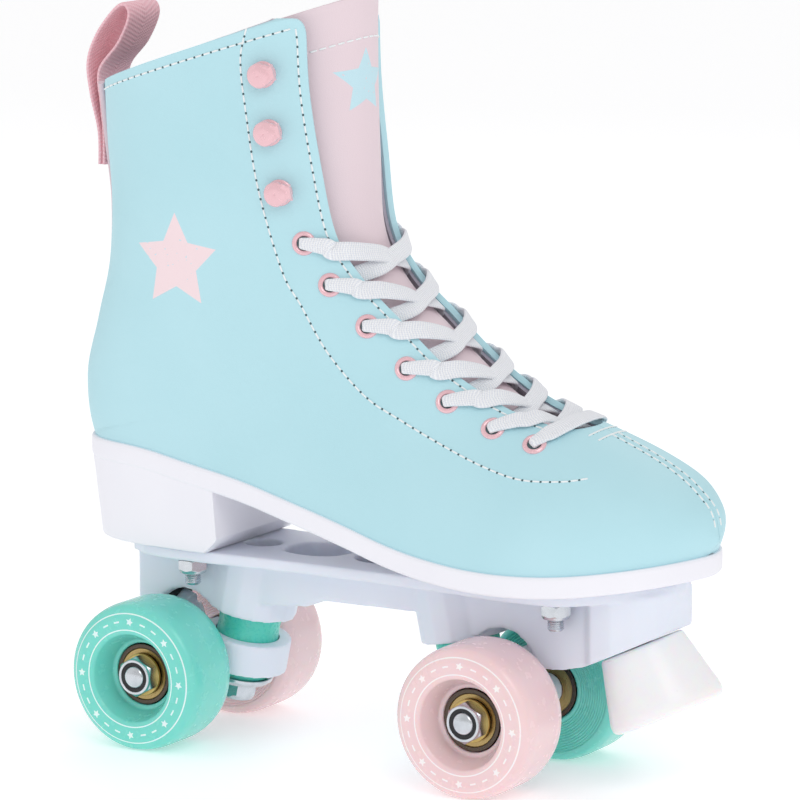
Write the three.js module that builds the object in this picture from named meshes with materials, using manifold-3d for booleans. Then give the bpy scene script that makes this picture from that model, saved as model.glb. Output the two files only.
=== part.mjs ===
// Quad roller skate: a laced high boot on a nylon plate with two steering trucks.
// Millimetres. +X points to the toe, +Z up, -Y is the outer side of a right foot.
import * as THREE from 'three';
import { mergeVertices } from 'three/addons/utils/BufferGeometryUtils.js';
import Module from 'manifold-3d';

const wasm = await Module();
wasm.setup();

// ---------------------------------------------------------------- driving dimensions
const GAP = 0.3;                 // clearance between pieces that touch

const WHEEL_RADIUS = 27;
const WHEEL_WIDTH = 27.5;
const WHEEL_MOUTH_RADIUS = 16.3; // open end of the hub recess
const HUB_RECESS_DEPTH = 8.5;
const WHEELBASE = 135.5;
const TRACK = 63.5;              // between the wheel centre planes

const BEARING_OUTER_RADIUS = 11;
const BEARING_WIDTH = 7;
const AXLE_RADIUS = 4;
const AXLE_NUT_FLATS = 13;
const AXLE_NUT_HEIGHT = 4.9;
const AXLE_WASHER_RADIUS = 7.6;
const AXLE_WASHER_THICKNESS = 1.1;
const AXLE_TIP = 0.5;            // axle end that shows past its nut

// truck, seen from its axle: x runs towards the middle of the skate
const KINGPIN_TILT = 0.208;      // radians, its top leans towards the middle
const RING_OFFSET = 19.75;       // hanger ring centre from the axle
const RING_HEIGHT_ABOVE_AXLE = 5;
const RING_RADIUS = 16.3;
const RING_HEIGHT = 12;
const RING_WEB = 6;              // plate inside the ring, between the cushions
const PIVOT_OFFSET = -12;        // ball tip from the axle
const PIVOT_ABOVE_AXLE = 22.5;
const PIVOT_BALL_RADIUS = 4;
const PIVOT_CUP_WALL = 1.7;
const KINGPIN_RADIUS = 4;
const KINGPIN_SWING = 1.4;       // room round the kingpin for steering
const KINGPIN_HEAD_RADIUS = 6.5;
const KINGPIN_HEAD_HEIGHT = 5;
const KINGPIN_NUT_HEIGHT = 6.4;
const UPPER_CUSHION_RADIUS = 11.5;
const UPPER_CUSHION_HEIGHT = 11.7;
const LOWER_CUSHION_RADIUS = 10.4;
const LOWER_CUSHION_HEIGHT = 6.2;
const CUP_WASHER_RADIUS = 12;
const CUP_WASHER_SWING = 1;      // room round the cup washer for steering
const CUP_WASHER_THICKNESS = 2;
const HOUSING_RADIUS = 8.2;      // hanger tube round the axle

// plate
const PLATE_TOP = 71.7;
const FLANGE_THICKNESS = 4.2;
const PLATE_BODY_HALF = 13;      // half-width of the web beside the wheels
const KINGPIN_BOSS_RADIUS = 16.3;
const ARCH_RADIUS = 14.5;
const POCKET_FLOOR = 60;
const MOUNT_BOLT_RADIUS = 3;
const MOUNT_NUT_FLATS = 10;
const MOUNT_NUT_HEIGHT = 5;
const MOUNT_BOLT_Y = 19.5;
const REAR_BOLT_X = -57.5;
const FRONT_BOLT_X = 91;

// toe stop
const STOP_TOP_X = 114;          // centre of its seat on the plate
const STOP_TOP_Z = 52;
const STOP_TILT = 0.447;         // radians, its foot leans forward
const STOP_HEIGHT = 26.4;
const STOP_TOP_RADIUS = 15;
const STOP_FOOT_RADIUS = 20.6;
const STOP_BOLT_RADIUS = 4;
const STOP_BOLT_HEAD_RADIUS = 6.8;
const STOP_RECESS_DEPTH = 9;

// boot
const UPPER_WALL = 2.4;
const LINING_WALL = 1.4;
const TONGUE_WALL = 2.4;
const TONGUE_CLEARANCE = 4.2;    // room under the quarters for the lace
const TONGUE_DEPTH = UPPER_WALL + TONGUE_CLEARANCE; // tongue face below the boot's outer surface
const TONGUE_LAP = 9;            // tongue beyond the throat edge, under the quarter
const BACKSTAY_WALL = 1.2;
const PIPING_RADIUS = 1.1;
const SOLE_MARGIN = 1;           // sole edge beyond the upper
const SOLE_THICKNESS = 8;
const HEEL_BOTTOM = 72;
const HEEL_FRONT = -40.5;
const HEEL_INSET = 3;            // heel block is narrower than the sole above it
const FOOTBED_THICKNESS = 4;
const FOOTBED_CLEARANCE = 6.8;   // beside the lining, which leans in over it

// lacing and hooks
const LACE_WIDTH = 6.5;
const LACE_THICKNESS = 1.3;
const EYELET_RADIUS = 2.6;
const EYELET_SETBACK = 12;       // along the leather, from the throat edge
const HOOK_SETBACK = 16;
const HOOK_RADIUS = 4.7;

// pull loop
const WEBBING_THICKNESS = 1.6;
const WEBBING_WIDTH = 20;

// ---------------------------------------------------------------- colours and finishes
const FINISH = {
  leather: { color: 0xb9dfe6, roughness: 0.62, metalness: 0 },
  lining: { color: 0xcdc8d2, roughness: 0.9, metalness: 0 },
  tongue: { color: 0xe6d4da, roughness: 0.65, metalness: 0 },
  webbing: { color: 0xf0bec6, roughness: 0.85, metalness: 0 },
  piping: { color: 0xe1cdd4, roughness: 0.6, metalness: 0 },
  lace: { color: 0xf4f5fa, roughness: 0.9, metalness: 0 },
  sole: { color: 0xf1eff6, roughness: 0.45, metalness: 0 },
  nylon: { color: 0xe9eef7, roughness: 0.4, metalness: 0 },
  stop: { color: 0xf6f6f8, roughness: 0.3, metalness: 0 },
  teal: { color: 0x6edcc8, roughness: 0.25, metalness: 0 },
  pink: { color: 0xefd2d4, roughness: 0.25, metalness: 0 },
  cushion: { color: 0x4fd0ba, roughness: 0.3, metalness: 0 },
  zinc: { color: 0xc9ced2, roughness: 0.3, metalness: 1 },
  bearing: { color: 0x9a8560, roughness: 0.35, metalness: 1 },
  lacquer: { color: 0xf3d0d4, roughness: 0.3, metalness: 0.3 },
  cup: { color: 0x2b2b2e, roughness: 0.7, metalness: 0 },
};

// ---------------------------------------------------------------- general helpers
const MERGE_TOLERANCE = 1e-4;
const V = (x, y, z) => new THREE.Vector3(x, y, z);
const Y_AXIS = V(0, 1, 0);

/** Position-only, merged, without empty triangles and facing outwards. */
function closedMesh(geometry) {
  const plain = geometry.clone();
  plain.deleteAttribute('normal');
  plain.deleteAttribute('uv');
  const merged = mergeVertices(plain, MERGE_TOLERANCE);
  const p = merged.attributes.position;
  const at = (i) => V().fromBufferAttribute(p, i);
  const kept = [];
  let volume = 0;
  for (let i = 0; i < merged.index.count; i += 3) {
    const [a, b, c] = [0, 1, 2].map((k) => merged.index.getX(i + k));
    if (a === b || b === c || c === a) continue;
    kept.push(a, b, c);
    volume += at(a).dot(at(b).cross(at(c)));
  }
  if (volume < 0) kept.reverse();
  merged.setIndex(kept);
  merged.computeVertexNormals();
  return merged;
}

function solidOf(geometry) {
  const mesh = closedMesh(geometry);
  return new wasm.Manifold(new wasm.Mesh({
    numProp: 3,
    vertProperties: new Float32Array(mesh.attributes.position.array),
    triVerts: new Uint32Array(mesh.index.array),
  }));
}

function geometryOf(solid) {
  const mesh = solid.getMesh();
  const geometry = new THREE.BufferGeometry();
  geometry.setAttribute('position', new THREE.BufferAttribute(mesh.vertProperties, 3));
  geometry.setIndex(new THREE.BufferAttribute(mesh.triVerts, 1));
  geometry.computeVertexNormals();
  return geometry;
}

const joined = (solids) => solids.reduce((all, one) => all.add(one));
const cut = (solid, tools) => tools.reduce((left, tool) => left.subtract(tool), solid);

function piece(name, geometry, finish) {
  const mesh = new THREE.Mesh(closedMesh(geometry), new THREE.MeshStandardMaterial(FINISH[finish]));
  mesh.name = name;
  return mesh;
}

/** Straight round bar or cone from one point to another. */
function bar(from, to, radius, endRadius = radius, sides = 24) {
  const along = to.clone().sub(from);
  const shape = new THREE.CylinderGeometry(endRadius, radius, along.length(), sides);
  shape.translate(0, along.length() / 2, 0);
  shape.applyQuaternion(new THREE.Quaternion().setFromUnitVectors(Y_AXIS, along.normalize()));
  return shape.translate(from.x, from.y, from.z);
}

/** Outline in the XZ plane, drawn out sideways from one y to another. */
function sideExtrusion(points, fromY, toY) {
  const shape = new THREE.Shape(points.map(([x, z]) => new THREE.Vector2(x, z)));
  const body = new THREE.ExtrudeGeometry(shape, { depth: toY - fromY, bevelEnabled: false, steps: 1 });
  return body.rotateX(Math.PI / 2).translate(0, toY, 0);
}

/** Outline in the XY plane, drawn up from one height to another. */
function planExtrusion(points, fromZ, toZ) {
  const shape = new THREE.Shape(points.map(([x, y]) => new THREE.Vector2(x, y)));
  const body = new THREE.ExtrudeGeometry(shape, { depth: toZ - fromZ, bevelEnabled: false, steps: 1 });
  return body.translate(0, 0, fromZ);
}

/** Turned about Y, a flat side downwards: points are [radius, y] and the outline closes on itself. */
function turned(points, sides) {
  const outline = [...points, points[0]].map(([r, y]) => new THREE.Vector2(r, y));
  return new THREE.LatheGeometry(outline, sides, Math.PI / sides);
}

function hexNut(flats, height, bore) {
  const corner = flats / Math.sqrt(3);
  const shape = new THREE.Shape(Array.from({ length: 6 }, (_, i) => {
    const angle = (i * Math.PI) / 3;
    return new THREE.Vector2(corner * Math.cos(angle), corner * Math.sin(angle));
  }));
  const hole = new THREE.Path();
  hole.absarc(0, 0, bore, 0, 2 * Math.PI, true);
  shape.holes.push(hole);
  const settings = { depth: height, bevelEnabled: false, steps: 1, curveSegments: 5 };
  return new THREE.ExtrudeGeometry(shape, settings).rotateX(-Math.PI / 2);
}

/** Smooth value of a list at a real-valued place in it. */
function along(list, place) {
  const last = list.length - 1;
  const i = Math.min(Math.max(Math.floor(place), 0), last - 1);
  const t = place - i;
  const [a, b, c, d] = [list[Math.max(i - 1, 0)], list[i], list[i + 1], list[Math.min(i + 2, last)]];
  const bend = 2 * a - 5 * b + 4 * c - d;
  return b + 0.5 * t * (c - a + t * (bend + t * (3 * (b - c) + d - a)));
}

/** Piecewise straight height over x. */
function heightOver(points, x) {
  const inside = Math.min(Math.max(x, points[0][0]), points[points.length - 1][0]);
  const i = Math.max(points.findIndex(([px]) => px >= inside), 1);
  const [[x0, z0], [x1, z1]] = [points[i - 1], points[i]];
  return z0 + ((z1 - z0) * (inside - x0)) / (x1 - x0);
}

/** Closed shell between two grids of points, rows by columns. */
function thickGrid(outer, inner) {
  const rows = outer.length;
  const cols = outer[0].length;
  const corners = [];
  const quad = (a, b, c, d) => corners.push(a, b, c, a, c, d);
  for (let i = 0; i + 1 < rows; i++) {
    for (let j = 0; j + 1 < cols; j++) {
      quad(outer[i][j], outer[i + 1][j], outer[i + 1][j + 1], outer[i][j + 1]);
      quad(inner[i][j], inner[i][j + 1], inner[i + 1][j + 1], inner[i + 1][j]);
    }
    quad(outer[i + 1][0], outer[i][0], inner[i][0], inner[i + 1][0]);
    quad(outer[i][cols - 1], outer[i + 1][cols - 1], inner[i + 1][cols - 1], inner[i][cols - 1]);
  }
  for (let j = 0; j + 1 < cols; j++) {
    quad(outer[0][j], outer[0][j + 1], inner[0][j + 1], inner[0][j]);
    quad(outer[rows - 1][j + 1], outer[rows - 1][j], inner[rows - 1][j], inner[rows - 1][j + 1]);
  }
  return new THREE.BufferGeometry().setFromPoints(corners);
}

// ---------------------------------------------------------------- shape of the boot
// Sections fan out from the collar (station 0), round the heel, to the toe tip.
// Each one joins a point on the back or bottom line to a point on the front or top line.
const BACK_X = [-99, -98, -96.5, -98, -103, -107.5, -103, -86, -55, -15, 30, 66, 92, 110, 122, 131, 140.5];
const BACK_Z = [236, 216, 195, 172, 151, 129, 106, 90, 80, 72, 65, 62, 64, 67, 71, 77, 90];
const FRONT_X = [12, 12, 12.5, 14, 23, 38, 53, 64, 75, 85.5, 97, 109, 119, 127.5, 134, 138.5, 140.5];
const FRONT_Z = [272, 244, 216, 190, 174, 161, 148.5, 140.5, 134, 130, 126.5, 121.5, 116.5, 111, 105, 99, 90];
const HALF_WIDTH = [34, 34, 33.5, 32.5, 32, 31.5, 31.5, 32, 33, 36, 39, 41, 38.5, 32.5, 24, 13.5, 0];
const CENTRE_Y = [0, 0, 0, 0, 0, 0, 0, 0, 0, 0.5, 1, 2, 3.5, 5, 6, 6.5, 6.5];
const WIDEST_AT = [0.42, 0.42, 0.42, 0.4, 0.36, 0.32, 0.3, 0.32, 0.34, 0.36, 0.38, 0.4, 0.42, 0.44, 0.46, 0.5, 0.5];
const BACK_FULLNESS = [2.4, 2.4, 2.4, 2.4, 2.5, 2.7, 2.8, 2.8, 2.8, 2.8, 2.8, 2.8, 2.8, 2.6, 2.4, 2.2, 2.2];
const FRONT_FULLNESS = [2.2, 2.2, 2.3, 2.45, 2.6, 2.8, 2.85, 2.7, 2.5, 2.25, 2.1, 2.1, 2.1, 2.2, 2.2, 2.2, 2.2];
const THROAT_HALF = [25, 24.5, 23, 20.5, 18.5, 18, 17.5, 16, 14.5, 13, 12];
const TOE_STATION = BACK_X.length - 1;
const THROAT_END = 9.9;          // station where the throat closes
const THROAT_ROUNDING = 0.5;     // stations over which it closes
const COLLAR_CORNER = 0.4;       // stations taken by the rounded collar corner
const COLLAR_CORNER_CUT = 4;

// top of the sole, on which the upper stands
const SOLE_TOP = [[-112, 109.5], [-72, 109], [-51, 105], [-30, 101.5], [-11, 96.5], [12, 91],
  [36, 84], [56, 80.8], [72, 79.8], [96, 80.3], [115, 82.5], [142, 86]];
const SECTION_STEPS = 48;

/** Half of one boot section, from the back or bottom centre to the front or top centre. */
function section(station, side) {
  const back = V(along(BACK_X, station), 0, along(BACK_Z, station));
  const front = V(along(FRONT_X, station), 0, along(FRONT_Z, station));
  const half = Math.max(along(HALF_WIDTH, station), 0);
  const widest = along(WIDEST_AT, station);
  const halves = [[2 / along(BACK_FULLNESS, station), 0, widest],
    [2 / along(FRONT_FULLNESS, station), widest, 1]];
  return Array.from({ length: SECTION_STEPS + 1 }, (_, k) => {
    const turn = (2 * k) / SECTION_STEPS;
    const angle = (Math.min(turn, 2 - turn) * Math.PI) / 2;
    const [power, from, to] = halves[turn <= 1 ? 0 : 1];
    const rise = 1 - Math.cos(angle) ** power;
    const share = turn <= 1 ? from + (to - from) * rise : to - (to - from) * rise;
    const point = back.clone().lerp(front, share);
    point.y = along(CENTRE_Y, station) + side * half * Math.sin(angle) ** power;
    return point;
  });
}

function throatHalf(station) {
  if (station >= THROAT_END) return 0;
  const open = along(THROAT_HALF, Math.max(station, 0));
  const toCollar = Math.max(1 - Math.max(station, 0) / COLLAR_CORNER, 0);
  const toEnd = Math.max((station - THROAT_END + THROAT_ROUNDING) / THROAT_ROUNDING, 0);
  const corner = COLLAR_CORNER_CUT * (1 - Math.sqrt(1 - toCollar ** 2));
  return (open + corner) * Math.sqrt(1 - toEnd ** 2);
}

/** The part of a path between two places, each a real-valued index. */
function stretch(path, from, to) {
  const at = (place) => {
    const i = Math.min(Math.floor(place), path.length - 2);
    return path[i].clone().lerp(path[i + 1], place - i);
  };
  const middle = path.filter((_, i) => i > from && i < to);
  return [at(from), ...middle, at(to)];
}

/** Points spread evenly along a path. */
function evenly(path, count) {
  const lengths = [0];
  path.slice(1).forEach((point, i) => lengths.push(lengths[i] + point.distanceTo(path[i])));
  const total = lengths[lengths.length - 1];
  return Array.from({ length: count }, (_, k) => {
    const goal = (total * k) / (count - 1);
    const passed = lengths.findIndex((len) => len >= goal);
    const i = passed < 0 ? path.length - 1 : Math.max(passed, 1);
    const step = lengths[i] - lengths[i - 1];
    const share = step > 0 ? (goal - lengths[i - 1]) / step : 0;
    return path[i - 1].clone().lerp(path[i], share);
  });
}

/** Real-valued index at which a test value first reaches zero, or the fallback. */
function crossing(values, fallback) {
  const i = values.findIndex((value, k) => k > 0 && values[k - 1] < 0 && value >= 0);
  if (i < 0) return fallback;
  return i - 1 + values[i - 1] / (values[i - 1] - values[i]);
}

/** One side of the upper at a station: from back seam or sole edge to throat edge or top seam. */
function upperRow(station, side, columns) {
  const path = section(station, side);
  const centre = along(CENTRE_Y, station);
  const start = crossing(path.map((p) => p.z - heightOver(SOLE_TOP, p.x)), 0);
  const edge = throatHalf(station);
  const inward = path.map((p, k) => (k < SECTION_STEPS / 2 ? -1 : edge - side * (p.y - centre)));
  const end = edge > 0 ? crossing(inward, SECTION_STEPS) : SECTION_STEPS;
  return evenly(stretch(path, start, end), columns);
}

/** Station at which the back or bottom line passes the top of the sole, between two others. */
function soleStation(above, below) {
  let [inAir, inSole] = [above, below];
  for (let i = 0; i < 40; i++) {
    const middle = (inAir + inSole) / 2;
    const clear = along(BACK_Z, middle) > heightOver(SOLE_TOP, along(BACK_X, middle));
    [inAir, inSole] = clear ? [middle, inSole] : [inAir, middle];
  }
  return inSole;
}

const evenStations = (from, to, count) =>
  Array.from({ length: count }, (_, i) => from + ((to - from) * i) / (count - 1));

/** Outward normals of a grid of points on one side of the boot. */
function gridNormals(grid, side) {
  const rows = grid.length;
  const cols = grid[0].length;
  return grid.map((row, i) => row.map((_, j) => {
    const down = grid[Math.min(i + 1, rows - 1)][j].clone().sub(grid[Math.max(i - 1, 0)][j]);
    const across = row[Math.min(j + 1, cols - 1)].clone().sub(row[Math.max(j - 1, 0)]);
    const normal = across.cross(down).multiplyScalar(side);
    return normal.lengthSq() > MERGE_TOLERANCE ** 2 ? normal.normalize() : V(1, 0, 0);
  }));
}

/** The grid moved out along its normals; points on a centre seam stay beside it. */
function offsetGrid(grid, normals, stations, distance, side, seamGap) {
  const lastColumn = grid[0].length - 1;
  return grid.map((row, i) => row.map((point, j) => {
    const moved = point.clone().addScaledVector(normals[i][j], distance);
    const atBack = j === 0 && (stations[i] <= HEEL_STATION || stations[i] >= TIP_STATION);
    const atTop = j === lastColumn && stations[i] >= THROAT_END;
    const onSole = j === 0 && !atBack;
    if (atBack || atTop || stations[i] === TOE_STATION) moved.y = point.y + side * seamGap;
    if (onSole) moved.z = heightOver(SOLE_TOP, moved.x);
    return moved;
  }));
}

const HEEL_STATION = soleStation(5, 7);
const TIP_STATION = soleStation(TOE_STATION, 14);
const UPPER_COLUMNS = 9;
const LEG_STATIONS = [0, 0.08, 0.2, 0.4, 1.2, 2.2, 3.2, 4.2, 5.2];
/** Stations round the heel, closer together at its back, where the edge turns fastest. */
const heelStations = (count) =>
  evenStations(0, 1, count).map((share) => HEEL_STATION + (7 - HEEL_STATION) * share ** 2);
const HEEL_STATIONS = heelStations(6);
const FOOT_STATIONS = [8, 8.5, 9, 9.6, 9.8, THROAT_END, 11, 12, 13, 14, 14.7, 15.2, TIP_STATION, 15.85];
const UPPER_STATIONS = [...LEG_STATIONS, ...HEEL_STATIONS, ...FOOT_STATIONS, TOE_STATION];
const SEAM_GAP = GAP / 2;

/** Half shell of the boot between two depths below its outer surface, over its first columns. */
function halfShell(side, stations, columns, outerDepth, wall, seamGap) {
  const grid = stations.map((station) => upperRow(station, side, UPPER_COLUMNS));
  const normals = gridNormals(grid, side);
  const outer = offsetGrid(grid, normals, stations, -outerDepth, side, seamGap);
  const inner = offsetGrid(grid, normals, stations, -outerDepth - wall, side, seamGap);
  return thickGrid(outer.map((row) => row.slice(0, columns)), inner.map((row) => row.slice(0, columns)));
}

/** How far to the side of the centre a place lies that is set back from the throat edge. */
function setbackReach(station, setback) {
  const centre = along(CENTRE_Y, station);
  const path = section(station, 1);
  const edge = throatHalf(station);
  const inward = path.map((p, k) => (k < SECTION_STEPS / 2 ? -1 : edge - (p.y - centre)));
  const back = stretch(path, 0, crossing(inward, SECTION_STEPS)).reverse();
  const steps = Math.round(back.length * 4);
  const fine = evenly(back, steps + 1);
  let walked = 0;
  const i = fine.findIndex((point, k) => {
    walked += k > 0 ? point.distanceTo(fine[k - 1]) : 0;
    return walked >= setback;
  });
  return fine[i].y - centre;
}

/** Point and outward normal on the front of the boot, a given way to one side. */
function frontPlace(station, side, sideways) {
  const find = (at) => {
    const centre = along(CENTRE_Y, at);
    const path = section(at, side);
    const inward = path.map((p, k) => (k < SECTION_STEPS / 2 ? -1 : sideways - side * (p.y - centre)));
    const end = crossing(inward, SECTION_STEPS);
    const [, point] = stretch(path, end - MERGE_TOLERANCE, end).slice(-2);
    const [before] = stretch(path, Math.max(end - 1, 0), end);
    return { point, tangent: point.clone().sub(before) };
  };
  const here = find(station);
  const ahead = find(station + 0.1);
  const normal = here.tangent.cross(ahead.point.clone().sub(here.point)).multiplyScalar(side);
  return { point: here.point, normal: normal.normalize() };
}

// ---------------------------------------------------------------- soft upper
const root = new THREE.Group();
const OUTER = -1;
const INNER = 1;
const SIDES = [['outer', OUTER], ['inner', INNER]];

const bootGroup = new THREE.Group();
root.add(bootGroup);

// eyelet rows up the throat, and hooks above them
const EYELET_STATIONS = [9.5, 8.4, 7.1, 5.9, 4.9, 3.92, 3.04];
const HOOK_STATIONS = [2.28, 1.46, 0.7];
const eyelet = (row, side) => {
  const station = EYELET_STATIONS[row];
  return frontPlace(station, side, setbackReach(station, EYELET_SETBACK));
};

function eyeletDrills(side) {
  return EYELET_STATIONS.map((_, row) => {
    const { point, normal } = eyelet(row, side);
    const outside = point.clone().addScaledVector(normal, 3);
    const inside = point.clone().addScaledVector(normal, -UPPER_WALL - 3);
    return solidOf(bar(outside, inside, EYELET_RADIUS, EYELET_RADIUS, 7));
  });
}

for (const [name, side] of SIDES) {
  const shell = solidOf(halfShell(side, UPPER_STATIONS, UPPER_COLUMNS, 0, UPPER_WALL, SEAM_GAP));
  bootGroup.add(piece(`${name}_quarter`, geometryOf(cut(shell, eyeletDrills(side))), 'leather'));
}

const LINING_STATIONS = UPPER_STATIONS.filter((station) => station <= 12);
const LINING_COLUMNS = UPPER_COLUMNS - 2; // it stops behind the eyelets
const liningHalf = (side) => solidOf(halfShell(
  side, LINING_STATIONS, LINING_COLUMNS, UPPER_WALL + GAP, LINING_WALL, 0));
bootGroup.add(piece('lining', geometryOf(joined([liningHalf(OUTER), liningHalf(INNER)])), 'lining'));

/** Tongue: a curved sheet that follows the front of the boot below the throat. */
function tongue() {
  const shares = evenStations(-1, 1, 9);
  const stations = [0, 0.6, 1.5, 2.5, 3.4, 4.2, 5, 6, 7, 8, 9, 9.9];
  const TOP_LIFT = 0.12;
  const sheet = (depth) => stations.map((base, row) => shares.map((share) => {
    const station = base - (row === 0 ? TOP_LIFT * (share ** 2 - 0.5) : 0);
    const half = Math.max(throatHalf(Math.max(station, COLLAR_CORNER)), 6) + TONGUE_LAP;
    const side = share < 0 ? OUTER : INNER;
    const { point, normal } = frontPlace(station, side, Math.max(Math.abs(share) * half, 0.5));
    if (share === 0) {
      point.y = along(CENTRE_Y, station);
      normal.y = 0;
    }
    return point.addScaledVector(normal, -depth);
  }));
  return thickGrid(sheet(TONGUE_DEPTH), sheet(TONGUE_DEPTH + TONGUE_WALL));
}
bootGroup.add(piece('tongue', tongue(), 'tongue'));

/** Point on the back of the boot, a given way round from the back seam. */
function backPlace(station, side, sideways, lift) {
  const path = section(station, side);
  const centre = along(CENTRE_Y, station);
  const end = sideways > 0 ? crossing(path.map((p) => side * (p.y - centre) - sideways), 0) : 0;
  const [point] = stretch(path, end, SECTION_STEPS);
  const [, next] = stretch(path, end + MERGE_TOLERANCE, SECTION_STEPS);
  const round = next.sub(point);
  const normal = sideways > 0 ? V(-Math.abs(round.y), side * Math.abs(round.x), 0) : V(-1, 0, 0);
  return point.clone().addScaledVector(normal.normalize(), lift);
}

const BACKSTAY_STATIONS = [0.05, 0.5, 1, 2, 3, 4, 5, 5.6];
const BACKSTAY_HALF = [14, 11, 9, 6.5, 5, 4.5, 4.5, 4.5];
function backstay() {
  const shares = evenStations(-1, 1, 5);
  const sheet = (lift) => BACKSTAY_STATIONS.map((station, row) => shares.map((share) => {
    const side = share < 0 ? OUTER : INNER;
    return backPlace(station, side, Math.abs(share) * BACKSTAY_HALF[row], lift);
  }));
  return thickGrid(sheet(2 * GAP + BACKSTAY_WALL), sheet(2 * GAP));
}
bootGroup.add(piece('backstay', backstay(), 'leather'));

function piping(side) {
  const reach = PIPING_RADIUS + 2 * GAP;
  const route = new THREE.CatmullRomCurve3(BACKSTAY_STATIONS.map((station, row) =>
    backPlace(station, side, BACKSTAY_HALF[row] + reach, PIPING_RADIUS + 2 * GAP)));
  const round = new THREE.Shape();
  round.absarc(0, 0, PIPING_RADIUS, 0, 2 * Math.PI);
  return new THREE.ExtrudeGeometry(round, { steps: 16, extrudePath: route, curveSegments: 3 });
}
for (const [name, side] of SIDES) {
  bootGroup.add(piece(`${name}_piping`, piping(side), 'piping'));
}

/** Flat strip through places that each give a point and the way the strip faces. */
function strip(places, width, thickness) {
  const top = [];
  const bottom = [];
  places.forEach(({ point, normal }, i) => {
    const ahead = places[Math.min(i + 1, places.length - 1)].point.clone();
    const way = ahead.sub(places[Math.max(i - 1, 0)].point);
    const across = way.cross(normal).normalize().multiplyScalar(width / 2);
    const half = normal.clone().multiplyScalar(thickness / 2);
    const corner = (sign, face) => point.clone().addScaledVector(across, sign).addScaledVector(half, face);
    top.push([corner(-1, 1), corner(1, 1)]);
    bottom.push([corner(-1, -1), corner(1, -1)]);
  });
  return thickGrid(top, bottom);
}

/** Pull loop: webbing doubled over behind the collar, both ends sewn to the backstay. */
function pullLoop() {
  const backstayFace = along(BACK_X, 1) - 2 * GAP - BACKSTAY_WALL - GAP;
  const front = backstayFace - WEBBING_THICKNESS / 2;
  const rear = front - WEBBING_THICKNESS - GAP;
  const top = along(BACK_Z, 0);
  const route = new THREE.CatmullRomCurve3([
    V(rear, 0, top - 30), V(rear - 0.2, 0, top - 18), V(rear - 3.6, 0, top - 4), V(rear - 4.6, 0, top + 7),
    V(rear - 0.5, 0, top + 17), V(rear + 7, 0, top + 26), V(rear + 11.5, 0, top + 28),
    V(rear + 13.2, 0, top + 23.5), V(rear + 8.5, 0, top + 14), V(front - 1.6, 0, top + 4),
    V(front - 1, 0, top - 8), V(front, 0, top - 18), V(front, 0, top - 30)]);
  return strip(evenStations(0, 1, 30).map((share) => {
    const tangent = route.getTangentAt(share);
    return { point: route.getPointAt(share), normal: V(-tangent.z, 0, tangent.x) };
  }), WEBBING_WIDTH, WEBBING_THICKNESS);
}
bootGroup.add(piece('pull_loop', pullLoop(), 'webbing'));

// ---------------------------------------------------------------- lace
const LACE_ABOVE = GAP + LACE_THICKNESS / 2;
const LACE_RISE = 1.6;           // extra height where a lace lies over an edge or another lace
const LACE_BELOW = UPPER_WALL + 4 * GAP + LACE_THICKNESS / 2;
const raised = ({ point, normal }, lift) => ({ point: point.clone().addScaledVector(normal, lift), normal });

/** One lace end's way from an eyelet, under its quarter, over the tongue, to the next row across. */
function laceCrossing(row, side) {
  const from = EYELET_STATIONS[row];
  const to = EYELET_STATIONS[row + 1];
  const start = setbackReach(from, EYELET_SETBACK);
  const end = setbackReach(to, EYELET_SETBACK);
  const over = LACE_ABOVE + LACE_RISE;
  // share of the way, sideways place (negative across the middle), height above the leather
  const edgeTo = throatHalf(to + (from - to) * 0.25);
  const way = [[-0.04, start + 1.6, -LACE_BELOW], [0.08, start - 2, -LACE_BELOW],
    [0.24, throatHalf(from + (to - from) * 0.24), -LACE_BELOW], [0.37, start * 0.33, -LACE_BELOW],
    [0.5, 0, -LACE_BELOW + LACE_RISE], [0.58, -edgeTo * 0.4, -0.6], [0.67, -edgeTo + 4, over],
    [0.76, -edgeTo, over], [0.82, -edgeTo - 2.5, over], [0.96, -end + 2, LACE_ABOVE + 2 * GAP],
    [1.02, -end - 1.6, LACE_ABOVE + 2 * GAP]];
  return strip(way.map(([share, sideways, lift]) => {
    const facing = sideways < 0 ? -side : side;
    return raised(frontPlace(from + (to - from) * share, facing, Math.max(Math.abs(sideways), 0.6)), lift);
  }), LACE_WIDTH, LACE_THICKNESS);
}

function laceThroughEyelet(row, side) {
  const place = eyelet(row, side);
  const outside = raised(place, LACE_ABOVE + GAP).point;
  const inside = raised(place, -LACE_BELOW).point;
  return bar(outside, inside, EYELET_RADIUS - 2 * GAP, EYELET_RADIUS - 2 * GAP, 6);
}

function laceBar() {
  const station = EYELET_STATIONS[0];
  const reach = setbackReach(station, EYELET_SETBACK);
  const shares = [-1.1, -0.9, -0.4, 0, 0.4, 0.9, 1.1];
  return strip(shares.map((share) => {
    const side = share < 0 ? OUTER : INNER;
    return raised(frontPlace(station, side, Math.max(Math.abs(share) * reach, 0.6)), LACE_ABOVE + 0.3);
  }), LACE_WIDTH, LACE_THICKNESS);
}

const lacePieces = [solidOf(laceBar())];
for (const [, side] of SIDES) {
  for (let row = 0; row < EYELET_STATIONS.length; row++) {
    lacePieces.push(solidOf(laceThroughEyelet(row, side)));
    if (row + 1 < EYELET_STATIONS.length) lacePieces.push(solidOf(laceCrossing(row, side)));
  }
}
bootGroup.add(piece('lace', geometryOf(joined(lacePieces)), 'lace'));

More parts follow.
